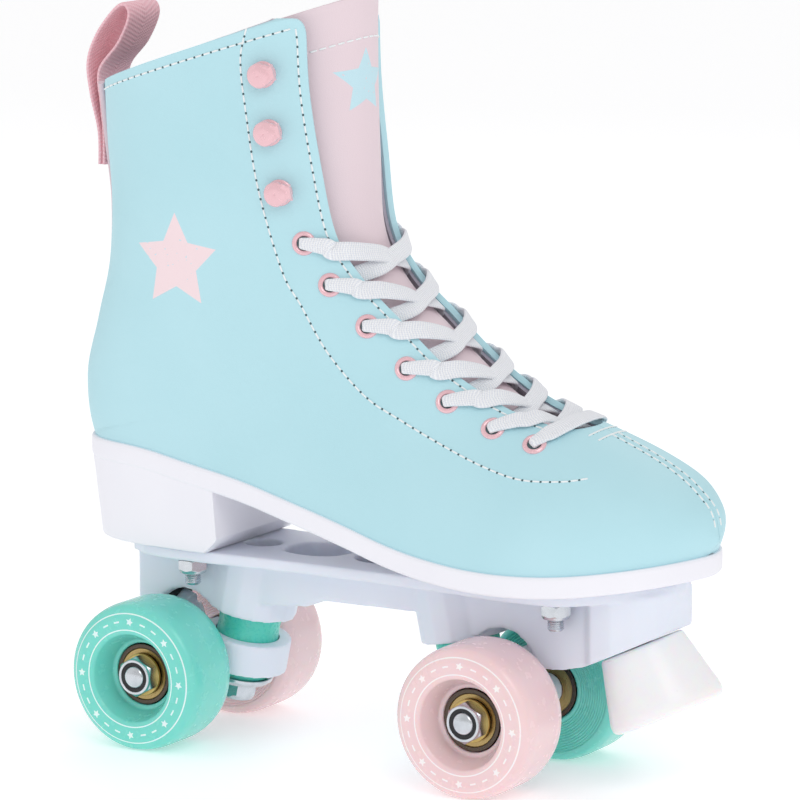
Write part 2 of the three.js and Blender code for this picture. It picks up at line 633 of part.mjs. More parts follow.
// ---------------------------------------------------------------- lace hooks
function hook(station, side) {
  const { point, normal } = frontPlace(station, side, setbackReach(station, HOOK_SETBACK));
  const reach = (lift) => point.clone().addScaledVector(normal, lift);
  const disc = bar(reach(GAP), reach(GAP + 1.2), HOOK_RADIUS, HOOK_RADIUS, 12);
  const neck = bar(reach(GAP + 1), reach(GAP + 3.6), 2, 2, 6);
  const head = bar(reach(GAP + 3.4), reach(GAP + 5), HOOK_RADIUS - 0.3, HOOK_RADIUS - 1, 12);
  return geometryOf(joined([disc, neck, head].map(solidOf)));
}
for (const [name, side] of SIDES) {
  HOOK_STATIONS.forEach((station, i) => {
    bootGroup.add(piece(`${name}_hook_${i + 1}`, hook(station, side), 'lacquer'));
  });
}

// ---------------------------------------------------------------- sole unit and footbed
/** Plan outline of the upper where it meets the sole, grown by a margin. */
function solePlan(margin) {
  const stations = [...heelStations(9), ...evenStations(7.5, TIP_STATION - 0.1, 13)];
  const edge = (side) => stations.map((station) => {
    const [p] = upperRow(station, side, 2);
    return V(p.x, p.y, 0);
  });
  const tip = V(along(BACK_X, TIP_STATION), along(CENTRE_Y, TIP_STATION), 0);
  const loop = [...edge(OUTER), tip, ...edge(INNER).slice(1).reverse()];
  return loop.map((point, i) => {
    const next = loop[(i + 1) % loop.length];
    const last = loop[(i + loop.length - 1) % loop.length];
    const way = next.clone().sub(last).normalize();
    return [point.x + way.y * margin, point.y - way.x * margin];
  });
}

const HEEL_BACK = -115;          // past the back of the heel, to be trimmed by the plan
const SOLE_STEPS = [-115, -72, -51, -30, -11, 12, 36, 56, 72, 96, 115, 145];
const soleTop = (drop) => SOLE_STEPS.map((x) => [x, heightOver(SOLE_TOP, x) - drop]);

function mountBolts(radius, fromZ, toZ) {
  const places = [REAR_BOLT_X, FRONT_BOLT_X].flatMap((x) => [[x, -MOUNT_BOLT_Y], [x, MOUNT_BOLT_Y]]);
  return places.map(([x, y]) => {
    const head = heightOver(SOLE_TOP, x);
    return bar(V(x, y, fromZ(head)), V(x, y, toZ(head)), radius, radius, 12);
  });
}

const BOLT_HEAD_RADIUS = 7;
const BOLT_HEAD_THICKNESS = 1.5;
const BOLT_HEAD_DEPTH = 3.2;     // head's underside below the sole's top face
const BOLT_TIP = 58;             // lowest point of a mounting bolt
const boltHole = mountBolts(MOUNT_BOLT_RADIUS + GAP, () => BOLT_TIP, (head) => head + SOLE_THICKNESS);
const boltHeadHole = mountBolts(
  BOLT_HEAD_RADIUS + GAP, (head) => head - BOLT_HEAD_DEPTH - GAP, (head) => head + SOLE_THICKNESS);

function soleUnit() {
  const slabSide = [...soleTop(3 * GAP), ...soleTop(SOLE_THICKNESS).reverse()];
  const slabPlan = solidOf(planExtrusion(solePlan(SOLE_MARGIN), 0, 200));
  const slab = solidOf(sideExtrusion(slabSide, -60, 60)).intersect(slabPlan);
  const heelSide = [[HEEL_BACK, HEEL_BOTTOM], [HEEL_FRONT - 6, HEEL_BOTTOM], [HEEL_FRONT, HEEL_BOTTOM + 5.5],
    [HEEL_FRONT, heightOver(SOLE_TOP, HEEL_FRONT) - 2], [HEEL_BACK, heightOver(SOLE_TOP, HEEL_BACK) - 2]];
  const heelPlan = solidOf(planExtrusion(solePlan(SOLE_MARGIN - HEEL_INSET), 0, 200));
  const heel = solidOf(sideExtrusion(heelSide, -60, 60)).intersect(heelPlan);
  return cut(joined([slab, heel]), [...boltHole, ...boltHeadHole].map(solidOf));
}
bootGroup.add(piece('sole_unit', geometryOf(soleUnit()), 'sole'));

function footbed() {
  const inset = UPPER_WALL + LINING_WALL + FOOTBED_CLEARANCE;
  const side = [...soleTop(-FOOTBED_THICKNESS), ...soleTop(GAP).reverse()];
  const plan = solidOf(planExtrusion(solePlan(-inset), 0, 200));
  return solidOf(sideExtrusion(side, -60, 60)).intersect(plan);
}
bootGroup.add(piece('footbed', geometryOf(footbed()), 'lining'));

// ---------------------------------------------------------------- truck places
const AXLE_X = WHEELBASE / 2;
const RING_Z = WHEEL_RADIUS + RING_HEIGHT_ABOVE_AXLE;
const PIVOT_Z = WHEEL_RADIUS + PIVOT_ABOVE_AXLE;
const ringCentre = V(RING_OFFSET, 0, RING_Z);
const pivot = V(PIVOT_OFFSET, 0, PIVOT_Z);
const kingpinUp = V(Math.sin(KINGPIN_TILT), 0, Math.cos(KINGPIN_TILT));
const steerAxis = pivot.clone().sub(ringCentre).normalize();
const onKingpin = (height) => ringCentre.clone().addScaledVector(kingpinUp, height);
const onSteerAxis = (past) => pivot.clone().addScaledVector(steerAxis, past);

const BOSS_FACE = RING_WEB / 2 + UPPER_CUSHION_HEIGHT + 2 * GAP;
const KINGPIN_HEAD_AT = BOSS_FACE + 15;
const WASHER_AT = -(RING_WEB / 2 + LOWER_CUSHION_HEIGHT + 2 * GAP);
const KINGPIN_NUT_AT = WASHER_AT - CUP_WASHER_THICKNESS - GAP;
const KINGPIN_END = KINGPIN_NUT_AT - KINGPIN_NUT_HEIGHT - 1;
const PIVOT_CUP_RADIUS = PIVOT_BALL_RADIUS + GAP + PIVOT_CUP_WALL;
const PIVOT_CUP_DEPTH = 4.5;
const PIVOT_CUP_LIP = 5;

/** A ring or pin turned about the kingpin: points are [radius, height above the ring centre]. */
function onKingpinLine(points, sides) {
  const shape = turned(points, sides);
  shape.applyQuaternion(new THREE.Quaternion().setFromUnitVectors(Y_AXIS, kingpinUp));
  return shape.translate(ringCentre.x, ringCentre.y, ringCentre.z);
}

function washerProfile(inner, outer, from, to) {
  return [[inner, from], [outer, from], [outer, to], [inner, to]];
}

function hanger() {
  const end = TRACK / 2 - WHEEL_WIDTH / 2 - GAP;
  const housing = turned([[0, -end], [6, -end], [6.2, -end + 4], [HOUSING_RADIUS, -8], [HOUSING_RADIUS, 8],
    [6.2, end - 4], [6, end], [0, end]], 12).translate(0, 0, WHEEL_RADIUS);
  const ring = bar(onKingpin(-RING_HEIGHT / 2), onKingpin(RING_HEIGHT / 2), RING_RADIUS, RING_RADIUS, 18);
  const neck = sideExtrusion([[-4, WHEEL_RADIUS - 6], [3, RING_Z - 3.5], [14, RING_Z - 3], [12, RING_Z + 3],
    [-2, WHEEL_RADIUS + 9], [-7, WHEEL_RADIUS + 4]], -11, 11);
  const elbow = onSteerAxis(-9);
  const arm = bar(V(-1, 0, WHEEL_RADIUS + 4), elbow, 6.2, PIVOT_BALL_RADIUS + 0.6, 8);
  const tip = bar(elbow, pivot, PIVOT_BALL_RADIUS + 0.6, PIVOT_BALL_RADIUS - 0.8, 8);
  const knuckle = new THREE.SphereGeometry(PIVOT_BALL_RADIUS + 0.6, 8, 5).translate(elbow.x, 0, elbow.z);
  const ball = new THREE.SphereGeometry(PIVOT_BALL_RADIUS, 10, 6).translate(pivot.x, 0, pivot.z);
  const bore = bar(onKingpin(-20), onKingpin(20), KINGPIN_RADIUS + KINGPIN_SWING, undefined, 12);
  const upperSeat = bar(onKingpin(RING_WEB / 2), onKingpin(20), UPPER_CUSHION_RADIUS + GAP, undefined, 16);
  const lowerSeat = bar(onKingpin(-RING_WEB / 2), onKingpin(-20), LOWER_CUSHION_RADIUS + GAP, undefined, 16);
  const axleHole = bar(V(0, -60, WHEEL_RADIUS), V(0, 60, WHEEL_RADIUS), AXLE_RADIUS + GAP, undefined, 12);
  const washerRoom = bar(onKingpin(-20), onKingpin(WASHER_AT + 2),
    CUP_WASHER_RADIUS + CUP_WASHER_SWING, undefined, 18);
  const body = joined([housing, ring, neck, arm, tip, knuckle, ball].map(solidOf));
  return cut(body, [bore, upperSeat, lowerSeat, axleHole, washerRoom].map(solidOf));
}

function kingpin() {
  const head = KINGPIN_HEAD_AT + KINGPIN_HEAD_HEIGHT;
  return onKingpinLine([[0, KINGPIN_END], [KINGPIN_RADIUS, KINGPIN_END], [KINGPIN_RADIUS, KINGPIN_HEAD_AT],
    [KINGPIN_HEAD_RADIUS, KINGPIN_HEAD_AT], [KINGPIN_HEAD_RADIUS, head], [0, head]], 12);
}

function kingpinNut() {
  const nut = hexNut(AXLE_NUT_FLATS, KINGPIN_NUT_HEIGHT, KINGPIN_RADIUS + GAP);
  nut.applyQuaternion(new THREE.Quaternion().setFromUnitVectors(Y_AXIS, kingpinUp));
  const foot = onKingpin(KINGPIN_NUT_AT - KINGPIN_NUT_HEIGHT);
  return nut.translate(foot.x, foot.y, foot.z);
}

function pivotCup() {
  const hollow = PIVOT_BALL_RADIUS + GAP;
  const shape = turned([[0, PIVOT_CUP_DEPTH + PIVOT_CUP_WALL], [PIVOT_CUP_RADIUS, PIVOT_CUP_DEPTH + PIVOT_CUP_WALL],
    [PIVOT_CUP_RADIUS, -PIVOT_CUP_LIP], [hollow + 0.5, -PIVOT_CUP_LIP], [hollow, 0],
    [hollow, PIVOT_CUP_DEPTH - 2], [hollow - 2, PIVOT_CUP_DEPTH], [0, PIVOT_CUP_DEPTH]], 14);
  shape.applyQuaternion(new THREE.Quaternion().setFromUnitVectors(Y_AXIS, steerAxis));
  return shape.translate(pivot.x, pivot.y, pivot.z);
}

// ---------------------------------------------------------------- wheels
const HALF_WIDTH_OF_WHEEL = WHEEL_WIDTH / 2;
const OUTER_BEARING_AT = -HALF_WIDTH_OF_WHEEL + HUB_RECESS_DEPTH;
const INNER_BEARING_AT = HALF_WIDTH_OF_WHEEL - BEARING_WIDTH;

/** Wheel about Y with its open face towards -Y. */
function wheel() {
  const w = HALF_WIDTH_OF_WHEEL;
  const seat = BEARING_OUTER_RADIUS + GAP;
  const shoulder = BEARING_OUTER_RADIUS - 2;
  const webFrom = OUTER_BEARING_AT + BEARING_WIDTH + GAP;
  const webTo = INNER_BEARING_AT - GAP;
  return turned([[WHEEL_MOUTH_RADIUS, -w], [seat + 1.4, OUTER_BEARING_AT - 0.8], [seat, OUTER_BEARING_AT - 0.4],
    [seat, webFrom], [shoulder, webFrom], [shoulder, webTo], [seat, webTo], [seat, w],
    [WHEEL_RADIUS - 4, w], [WHEEL_RADIUS - 1.2, w - 1.5], [WHEEL_RADIUS, w - 5],
    [WHEEL_RADIUS, -w + 5], [WHEEL_RADIUS - 1.2, -w + 1.5], [WHEEL_RADIUS - 3.8, -w]], 22);
}

function bearing(at) {
  const [inner, outer] = [AXLE_RADIUS + GAP, BEARING_OUTER_RADIUS];
  return turned(washerProfile(inner, outer, at, at + BEARING_WIDTH), 12);
}

function axleNut() {
  const foot = OUTER_BEARING_AT - GAP;
  const bore = AXLE_RADIUS + GAP;
  const washer = turned(washerProfile(bore, AXLE_WASHER_RADIUS, foot - AXLE_WASHER_THICKNESS, foot), 12);
  const nut = hexNut(AXLE_NUT_FLATS, AXLE_NUT_HEIGHT + 0.2, bore);
  nut.translate(0, foot - AXLE_WASHER_THICKNESS - AXLE_NUT_HEIGHT, 0);
  return geometryOf(joined([washer, nut].map(solidOf)));
}

const AXLE_END = TRACK / 2 - OUTER_BEARING_AT + GAP + AXLE_WASHER_THICKNESS + AXLE_NUT_HEIGHT + AXLE_TIP;

/** One truck with its axle at x = 0; the kingpin side faces +X. */
function truck(name, outerColour, innerColour) {
  const group = new THREE.Group();
  const upper = [[RING_WEB / 2 + GAP, BOSS_FACE - GAP], UPPER_CUSHION_RADIUS];
  const lower = [[WASHER_AT + GAP, -RING_WEB / 2 - GAP], LOWER_CUSHION_RADIUS];
  const cushion = ([[from, to], radius]) =>
    onKingpinLine(washerProfile(KINGPIN_RADIUS + GAP, radius, from, to), 14);
  const cupWasher = [[KINGPIN_RADIUS + GAP, WASHER_AT - CUP_WASHER_THICKNESS],
    [CUP_WASHER_RADIUS - 1.5, WASHER_AT - CUP_WASHER_THICKNESS], [CUP_WASHER_RADIUS, WASHER_AT - 0.5],
    [CUP_WASHER_RADIUS, WASHER_AT + 0.8], [LOWER_CUSHION_RADIUS + GAP, WASHER_AT + 0.8],
    [LOWER_CUSHION_RADIUS + GAP, WASHER_AT], [KINGPIN_RADIUS + GAP, WASHER_AT]];
  group.add(
    piece(`${name}_hanger`, geometryOf(hanger()), 'nylon'),
    piece(`${name}_axle`, bar(V(0, -AXLE_END, WHEEL_RADIUS), V(0, AXLE_END, WHEEL_RADIUS), AXLE_RADIUS), 'zinc'),
    piece(`${name}_kingpin`, kingpin(), 'zinc'),
    piece(`${name}_upper_cushion`, cushion(upper), 'cushion'),
    piece(`${name}_lower_cushion`, cushion(lower), 'cushion'),
    piece(`${name}_cup_washer`, onKingpinLine(cupWasher, 14), 'zinc'),
    piece(`${name}_kingpin_nut`, kingpinNut(), 'zinc'),
    piece(`${name}_pivot_cup`, pivotCup(), 'cup'),
  );
  const turnedRound = name === 'front';
  for (const [sideName, side] of SIDES) {
    const wheelGroup = new THREE.Group();
    const localSide = turnedRound ? -side : side;
    wheelGroup.position.set(0, (localSide * TRACK) / 2, WHEEL_RADIUS);
    wheelGroup.rotation.z = localSide === OUTER ? 0 : Math.PI;
    const label = `${name}_${sideName}`;
    wheelGroup.add(
      piece(`${label}_wheel`, wheel(), side === OUTER ? outerColour : innerColour),
      piece(`${label}_outer_bearing`, bearing(OUTER_BEARING_AT), 'bearing'),
      piece(`${label}_inner_bearing`, bearing(INNER_BEARING_AT), 'bearing'),
      piece(`${label}_axle_nut`, axleNut(), 'zinc'),
    );
    group.add(wheelGroup);
  }
  group.position.x = turnedRound ? AXLE_X : -AXLE_X;
  group.rotation.z = turnedRound ? Math.PI : 0;
  return group;
}
root.add(truck('rear', 'teal', 'pink'), truck('front', 'pink', 'teal'));

// ---------------------------------------------------------------- plate
const stopDown = V(Math.sin(STOP_TILT), 0, -Math.cos(STOP_TILT));
const stopForward = V(Math.cos(STOP_TILT), 0, Math.sin(STOP_TILT));
const stopTop = V(STOP_TOP_X, 0, STOP_TOP_Z);
const onStop = (down, forward = 0) =>
  stopTop.clone().addScaledVector(stopDown, down).addScaledVector(stopForward, forward);
const STOP_BOLT_REACH = 12;      // bolt length inside the plate
const NUT_TOP = PLATE_TOP - FLANGE_THICKNESS - GAP;

/** Moves a truck-frame shape to its place under the plate. */
function atTruck(geometry, end) {
  if (end > 0) geometry.rotateZ(Math.PI);
  return geometry.translate(end * AXLE_X, 0, 0);
}

function mirroredPlan(halfOutline) {
  const curve = new THREE.SplineCurve(halfOutline.map(([x, y]) => new THREE.Vector2(x, y)));
  const half = curve.getPoints(14).map((p) => [p.x, Math.max(p.y, 0)]);
  return [...half, ...half.slice(1, -1).reverse().map(([x, y]) => [x, -y])];
}

function plate() {
  const top = PLATE_TOP;
  const under = top - FLANGE_THICKNESS;
  const nose = 131;
  const followSole = [72, 96, 115, 142].map((x) => [x, heightOver(SOLE_TOP, x) - SOLE_THICKNESS - GAP]);
  const topLine = [[-100, top], [56, top], ...followSole];
  const underLine = topLine.map(([x, z]) => [x, z - FLANGE_THICKNESS]).reverse();
  const flangePlan = mirroredPlan([[-90, 0], [-88, 12], [-80, 21], [-66, 26], [-40, 25.5], [0, 23.5], [40, 25],
    [72, 27.5], [98, 27], [115, 21], [127, 11], [nose, 0]]);
  const flange = solidOf(sideExtrusion([...topLine, ...underLine], -60, 60))
    .intersect(solidOf(planExtrusion(flangePlan, 0, 200)));
  const seatLine = [onStop(0, -STOP_TOP_RADIUS - 2), onStop(0, STOP_TOP_RADIUS + 0.5)];
  const lowRear = PIVOT_Z - 8;
  const rear = (offset) => offset - AXLE_X;
  const front = (offset) => offset + AXLE_X;
  const bodySide = [[rear(-20.75), under + 1], [rear(-17.95), lowRear + 3], [rear(-15.75), lowRear],
    [rear(-2.25), lowRear], [rear(7.75), 50], [rear(39.75), 52], [rear(54.75), 53.5], [rear(62.75), 56.5],
    [front(-31.75), 56.5], [front(-25.75), 53], [front(-7.75), 50], [front(8.25), lowRear], [90, lowRear + 1],
    ...seatLine.map((p) => [p.x, p.z]), [129, 65], [131, top + 2], [115, top - 1], [96, under + 1]];
  const bodyPlan = mirroredPlan([[-90, 0], [-87, 10], [-80, PLATE_BODY_HALF], [-40, PLATE_BODY_HALF], [0, 15],
    [40, PLATE_BODY_HALF], [94, PLATE_BODY_HALF], [103, 18.5], [114, 20], [124, 16], [129, 9], [nose - 1, 0]]);
  const body = solidOf(sideExtrusion(bodySide, -60, 60)).intersect(solidOf(planExtrusion(bodyPlan, 0, 200)));
  const arch = (end) => atTruck(bar(V(2, -60, 40), V(2, 60, 40), ARCH_RADIUS, undefined, 16), end);
  const boss = (end) => atTruck(
    bar(onKingpin(BOSS_FACE), onKingpin(BOSS_FACE + 22), KINGPIN_BOSS_RADIUS, undefined, 16), end);
  const belowTop = solidOf(sideExtrusion([[-100, 0], [140, 0], [140, under + 1], [-100, under + 1]], -60, 60));
  const bosses = joined([boss(-1), boss(1)].map(solidOf)).intersect(belowTop);
  const built = joined([flange, cut(body, [arch(-1), arch(1)].map(solidOf)), bosses]);
  const ends = [-1, 1];
  const bores = ends.map((end) => atTruck(bar(onKingpin(0), onKingpin(60), KINGPIN_RADIUS + GAP, undefined, 12), end));
  const headHoles = ends.map((end) => atTruck(
    bar(onKingpin(KINGPIN_HEAD_AT - GAP), onKingpin(70), KINGPIN_HEAD_RADIUS + GAP, undefined, 12), end));
  const cupHoles = ends.map((end) => atTruck(bar(onSteerAxis(-14),
    onSteerAxis(PIVOT_CUP_DEPTH + PIVOT_CUP_WALL + GAP), PIVOT_CUP_RADIUS + GAP, undefined, 14), end));
  const pocket = (fromX, toX) => {
    const middle = (fromX + toX) / 2;
    return planExtrusion(mirroredPlan([[fromX, 0], [fromX + 3, 8], [middle, 11], [toX - 3, 8], [toX, 0]]),
      POCKET_FLOOR, 200);
  };
  const pockets = [pocket(-29, -3), pocket(1, 27)];
  const cushionRooms = ends.map((end) => atTruck(bar(onKingpin(0), onKingpin(BOSS_FACE - GAP / 2),
    UPPER_CUSHION_RADIUS + GAP, undefined, 16), end));
  const soleRoom = sideExtrusion([...soleTop(SOLE_THICKNESS + GAP / 2), [145, 200], [HEEL_BACK, 200]], -60, 60);
  const nutRooms = mountBolts(MOUNT_NUT_FLATS / Math.sqrt(3) + GAP / 2, () => BOLT_TIP, () => NUT_TOP + GAP / 2);
  const rooms = [...cushionRooms, soleRoom, ...nutRooms];
  const stopBore = bar(onStop(5), onStop(-STOP_BOLT_REACH - GAP), STOP_BOLT_RADIUS + GAP, undefined, 16);
  return cut(built, [...bores, ...headHoles, ...cupHoles, ...rooms, ...pockets, ...boltHole, stopBore].map(solidOf));
}
root.add(piece('plate', geometryOf(plate()), 'nylon'));

// ---------------------------------------------------------------- mounting bolts and nuts
const BOLT_NAMES = ['rear_outer', 'rear_inner', 'front_outer', 'front_inner'];
const boltShanks = mountBolts(MOUNT_BOLT_RADIUS, () => BOLT_TIP, (head) => head - BOLT_HEAD_DEPTH + 0.5);
const boltHeads = mountBolts(BOLT_HEAD_RADIUS, (head) => head - BOLT_HEAD_DEPTH,
  (head) => head - BOLT_HEAD_DEPTH + BOLT_HEAD_THICKNESS);
BOLT_NAMES.forEach((name, i) => {
  const bolt = joined([boltShanks[i], boltHeads[i]].map(solidOf));
  const x = i < 2 ? REAR_BOLT_X : FRONT_BOLT_X;
  const y = i % 2 === 0 ? -MOUNT_BOLT_Y : MOUNT_BOLT_Y;
  const nut = hexNut(MOUNT_NUT_FLATS, MOUNT_NUT_HEIGHT, MOUNT_BOLT_RADIUS + GAP).rotateX(Math.PI / 2);
  root.add(piece(`${name}_bolt`, geometryOf(bolt), 'zinc'));
  root.add(piece(`${name}_nut`, nut.translate(x, y, NUT_TOP - MOUNT_NUT_HEIGHT), 'zinc'));
});

// ---------------------------------------------------------------- toe stop
function aboutStopAxis(points, sides) {
  const shape = turned(points, sides);
  shape.applyQuaternion(new THREE.Quaternion().setFromUnitVectors(Y_AXIS, stopDown));
  return shape.translate(stopTop.x, stopTop.y, stopTop.z);
}
const boreOfStop = STOP_BOLT_RADIUS + GAP;
const recessAt = STOP_HEIGHT - STOP_RECESS_DEPTH;
root.add(piece('toe_stop', aboutStopAxis([[boreOfStop, GAP], [STOP_TOP_RADIUS, GAP],
  [STOP_FOOT_RADIUS, STOP_HEIGHT - 4], [STOP_FOOT_RADIUS - 0.6, STOP_HEIGHT - 1.5],
  [STOP_FOOT_RADIUS - 3, STOP_HEIGHT], [STOP_BOLT_HEAD_RADIUS + GAP, STOP_HEIGHT],
  [STOP_BOLT_HEAD_RADIUS + GAP, recessAt], [boreOfStop, recessAt]], 24), 'stop'));
root.add(piece('toe_stop_bolt', aboutStopAxis([[0, -STOP_BOLT_REACH], [STOP_BOLT_RADIUS, -STOP_BOLT_REACH],
  [STOP_BOLT_RADIUS, recessAt + GAP], [STOP_BOLT_HEAD_RADIUS, recessAt + GAP],
  [STOP_BOLT_HEAD_RADIUS, recessAt + 5], [0, recessAt + 5]], 16), 'zinc'));

// ---------------------------------------------------------------- origin under the middle
root.updateMatrixWorld(true);
const reach = new THREE.Box3().setFromObject(root, true);
const middle = reach.getCenter(V());
root.position.set(-middle.x, -middle.y, -reach.min.z);
root.updateMatrixWorld(true);

export default root;
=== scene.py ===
# %% [markdown]
# Quad roller skate, right foot. The CAD parts give the sizes and places; this script gives
# them their looks. All shapes are drawn in millimetres on the skate's own lines and are
# moved into the shared frame, in metres, when a mesh is made.

# %% Setup
import math
import bpy
import bmesh
import numpy as np
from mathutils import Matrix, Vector
from mathutils.bvhtree import BVHTree


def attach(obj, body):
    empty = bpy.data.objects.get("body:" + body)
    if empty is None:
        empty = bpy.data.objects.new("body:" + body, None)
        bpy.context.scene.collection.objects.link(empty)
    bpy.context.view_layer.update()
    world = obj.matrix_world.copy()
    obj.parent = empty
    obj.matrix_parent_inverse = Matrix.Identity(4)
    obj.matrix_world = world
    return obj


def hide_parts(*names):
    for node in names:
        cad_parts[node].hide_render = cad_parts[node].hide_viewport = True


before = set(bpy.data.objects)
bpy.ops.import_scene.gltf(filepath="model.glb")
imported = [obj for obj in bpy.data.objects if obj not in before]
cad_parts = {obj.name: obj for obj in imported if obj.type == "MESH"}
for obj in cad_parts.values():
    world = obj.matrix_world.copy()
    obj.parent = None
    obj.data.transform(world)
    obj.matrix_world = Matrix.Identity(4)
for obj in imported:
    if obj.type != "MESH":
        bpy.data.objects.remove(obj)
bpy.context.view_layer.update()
scene = bpy.context.scene
BOOT = "boot_and_plate"
SHIFT = np.array([-16.401, 0.0, -0.275])  # from the drawing's origin to the shared one
OUTER, INNER = -1, 1
SIDES = {"outer": OUTER, "inner": INNER}


def to_frame(points):
    return (np.asarray(points, float) + SHIFT) / 1000


# %% [markdown]
# Shader maths is written as ordinary sums: a Field wraps one socket, and each sign makes
# the node it stands for.

# %% Shader fields
class Field:
    """One output of a shader tree, a number or a vector."""

    def __init__(self, tree, socket):
        self.tree, self.socket = tree, socket

    @classmethod
    def node(cls, tree, kind, inputs=None, output=0, **settings):
        made = tree.nodes.new(kind)
        for key, value in settings.items():
            setattr(made, key, value)
        for key, value in (inputs or {}).items():
            if isinstance(value, Field):
                tree.links.new(value.socket, made.inputs[key])
            else:
                made.inputs[key].default_value = value
        return cls(tree, made.outputs[output])

    def maths(self, operation, *values):
        inputs = {i: value for i, value in enumerate(values)}
        return Field.node(self.tree, "ShaderNodeMath", inputs, operation=operation)

    def __add__(self, other): return self.maths("ADD", self, other)
    def __radd__(self, other): return self.maths("ADD", other, self)
    def __sub__(self, other): return self.maths("SUBTRACT", self, other)
    def __rsub__(self, other): return self.maths("SUBTRACT", other, self)
    def __mul__(self, other): return self.maths("MULTIPLY", self, other)
    def __rmul__(self, other): return self.maths("MULTIPLY", other, self)
    def __truediv__(self, other): return self.maths("DIVIDE", self, other)
    def __rtruediv__(self, other): return self.maths("DIVIDE", other, self)
    def __lt__(self, other): return self.maths("LESS_THAN", self, other)
    def __gt__(self, other): return self.maths("GREATER_THAN", self, other)
    def __mod__(self, other): return self.maths("FLOORED_MODULO", self, other)
    def __abs__(self): return self.maths("ABSOLUTE", self)

    def parts(self):
        split = self.tree.nodes.new("ShaderNodeSeparateXYZ")
        self.tree.links.new(self.socket, split.inputs[0])
        return [Field(self.tree, output) for output in split.outputs]

    def sine(self): return self.maths("SINE", self)
    def root(self): return self.maths("SQRT", self)
    def most(self, other): return self.maths("MAXIMUM", self, other)
    def least(self, other): return self.maths("MINIMUM", self, other)


# %% [markdown]
# Patterns. Each one is a field that the finishes share: a stored attribute, the place in the
# shared frame, noise, cell walls and a star. The sums are short, so every print on the skate is
# drawn by numbers and follows its piece.

# %% Patterns
def attribute(tree, name):
    return Field.node(tree, "ShaderNodeAttribute", output=1, attribute_name=name)


def place(tree):
    return Field.node(tree, "ShaderNodeTexCoord", output=3)


def noise(tree, scale, detail=3.0, vector=None, roughness=0.5):
    inputs = {"Vector": vector or place(tree), "Scale": scale, "Detail": detail, "Roughness": roughness}
    return Field.node(tree, "ShaderNodeTexNoise", inputs)


def cells(tree, scale, vector=None):
    inputs = {"Vector": vector or place(tree), "Scale": scale}
    return Field.node(tree, "ShaderNodeTexVoronoi", inputs, feature="DISTANCE_TO_EDGE")


def mixed(tree, factor, first, second):
    """Two colours mixed; each is a colour or a field."""
    node = tree.nodes.new("ShaderNodeMix")
    node.data_type = "RGBA"
    for index, value in ((0, factor), (6, first), (7, second)):
        if isinstance(value, Field):
            tree.links.new(value.socket, node.inputs[index])
        else:
            node.inputs[index].default_value = value
    return Field(tree, node.outputs[2])


def colour(code):
    """Linear colour of a hexadecimal code."""
    parts = [int(code[i:i + 2], 16) / 255 for i in (0, 2, 4)]
    return [c / 12.92 if c <= 0.04045 else ((c + 0.055) / 1.055) ** 2.4 for c in parts] + [1.0]


def finish(name, paint=None, **values):
    """A material: fixed values go on the sockets, and paint(tree) returns the varying ones."""
    material = bpy.data.materials.new(name)
    material.use_nodes = True
    tree = material.node_tree
    shader = tree.nodes["Principled BSDF"]
    for key, value in values.items():
        shader.inputs[key.replace("_", " ")].default_value = value
    varying = paint(tree) if paint else {}
    for key, value in varying.items():
        if key == "Height":
            height, strength, distance = value
            bump = Field.node(tree, "ShaderNodeBump", {"Height": height, "Strength": strength,
                                                       "Distance": distance})
            key, value = "Normal", bump
        tree.links.new(value.socket, shader.inputs[key])
    return material


STAR_NOTCH = 0.5  # radius of a star's inner corners, as a share of its outer ones


def star(tree, across, up, size):
    """1 inside a five-pointed star of that outer radius, 0 outside."""
    fifth = 2 * math.pi / 5
    angle = Field.node(tree, "ShaderNodeMath", {0: across, 1: up}, operation="ARCTAN2")
    radius = (across * across + up * up).root()
    turn = abs((angle + fifth / 2) % fifth - fifth / 2)
    notch = STAR_NOTCH * size
    edge = size * notch * math.sin(fifth / 2) / (
        size * turn.sine() + notch * (fifth / 2 - turn).sine())
    return radius < edge


# %% [markdown]
# Finishes. The upper is matte coated leather with a fine pebble; the metals are bright zinc;
# the wheels are cast urethane with two printed rings, small stars and dashes. Each kind of
# finish is one function, so pieces of one material can't drift apart, and nothing needs a UV
# map: the patterns read the object's own coordinates or an attribute stored with the mesh.

# %% Finishes
def leather(name, base, lit, badge=None):
    def paint(tree):
        pebble = cells(tree, 1500)
        broad = noise(tree, 22, 2)
        base_mix = mixed(tree, broad, colour(base), colour(lit))
        if badge:
            size, print_colour = badge
            across, up, _ = attribute(tree, "badge").parts()
            wear = noise(tree, 900, 2) > 0.3
            base_mix = mixed(tree, star(tree, across, up, size) * wear, base_mix, colour(print_colour))
        height = pebble.least(0.12) + noise(tree, 400, 4) * 0.08
        return {"Base Color": base_mix, "Roughness": 0.42 + noise(tree, 160, 3) * 0.16,
                "Height": (height, 0.35, 0.0004)}
    return finish(name, paint, Specular_IOR_Level=0.4)


def woven(name, base, dark, pitch, along_share=1.0):
    """Flat woven band: ribs across it and threads along it, its colour painted darker in the hollows of the
    weave as shade.
    """
    def paint(tree):
        run, across, _ = attribute(tree, "weave").parts()
        rib = (run * (2 * math.pi / pitch) + abs(across) * (1.6 * along_share)).sine() * 0.5 + 0.5
        thread = (across * (2 * math.pi / (pitch * 0.8))).sine() * 0.5 + 0.5
        cloth = rib * 0.65 + thread * 0.35
        fuzz = noise(tree, 1800, 3)
        # Painted shade: darker where the weave's relief is low; the fuzz adds random tone.
        return {"Base Color": mixed(tree, cloth * 0.75 + fuzz * 0.25, colour(dark), colour(base)),
                "Height": (cloth + fuzz * 0.3, 0.6, 0.0004)}
    return finish(name, paint, Roughness=0.85, Sheen_Weight=0.2)


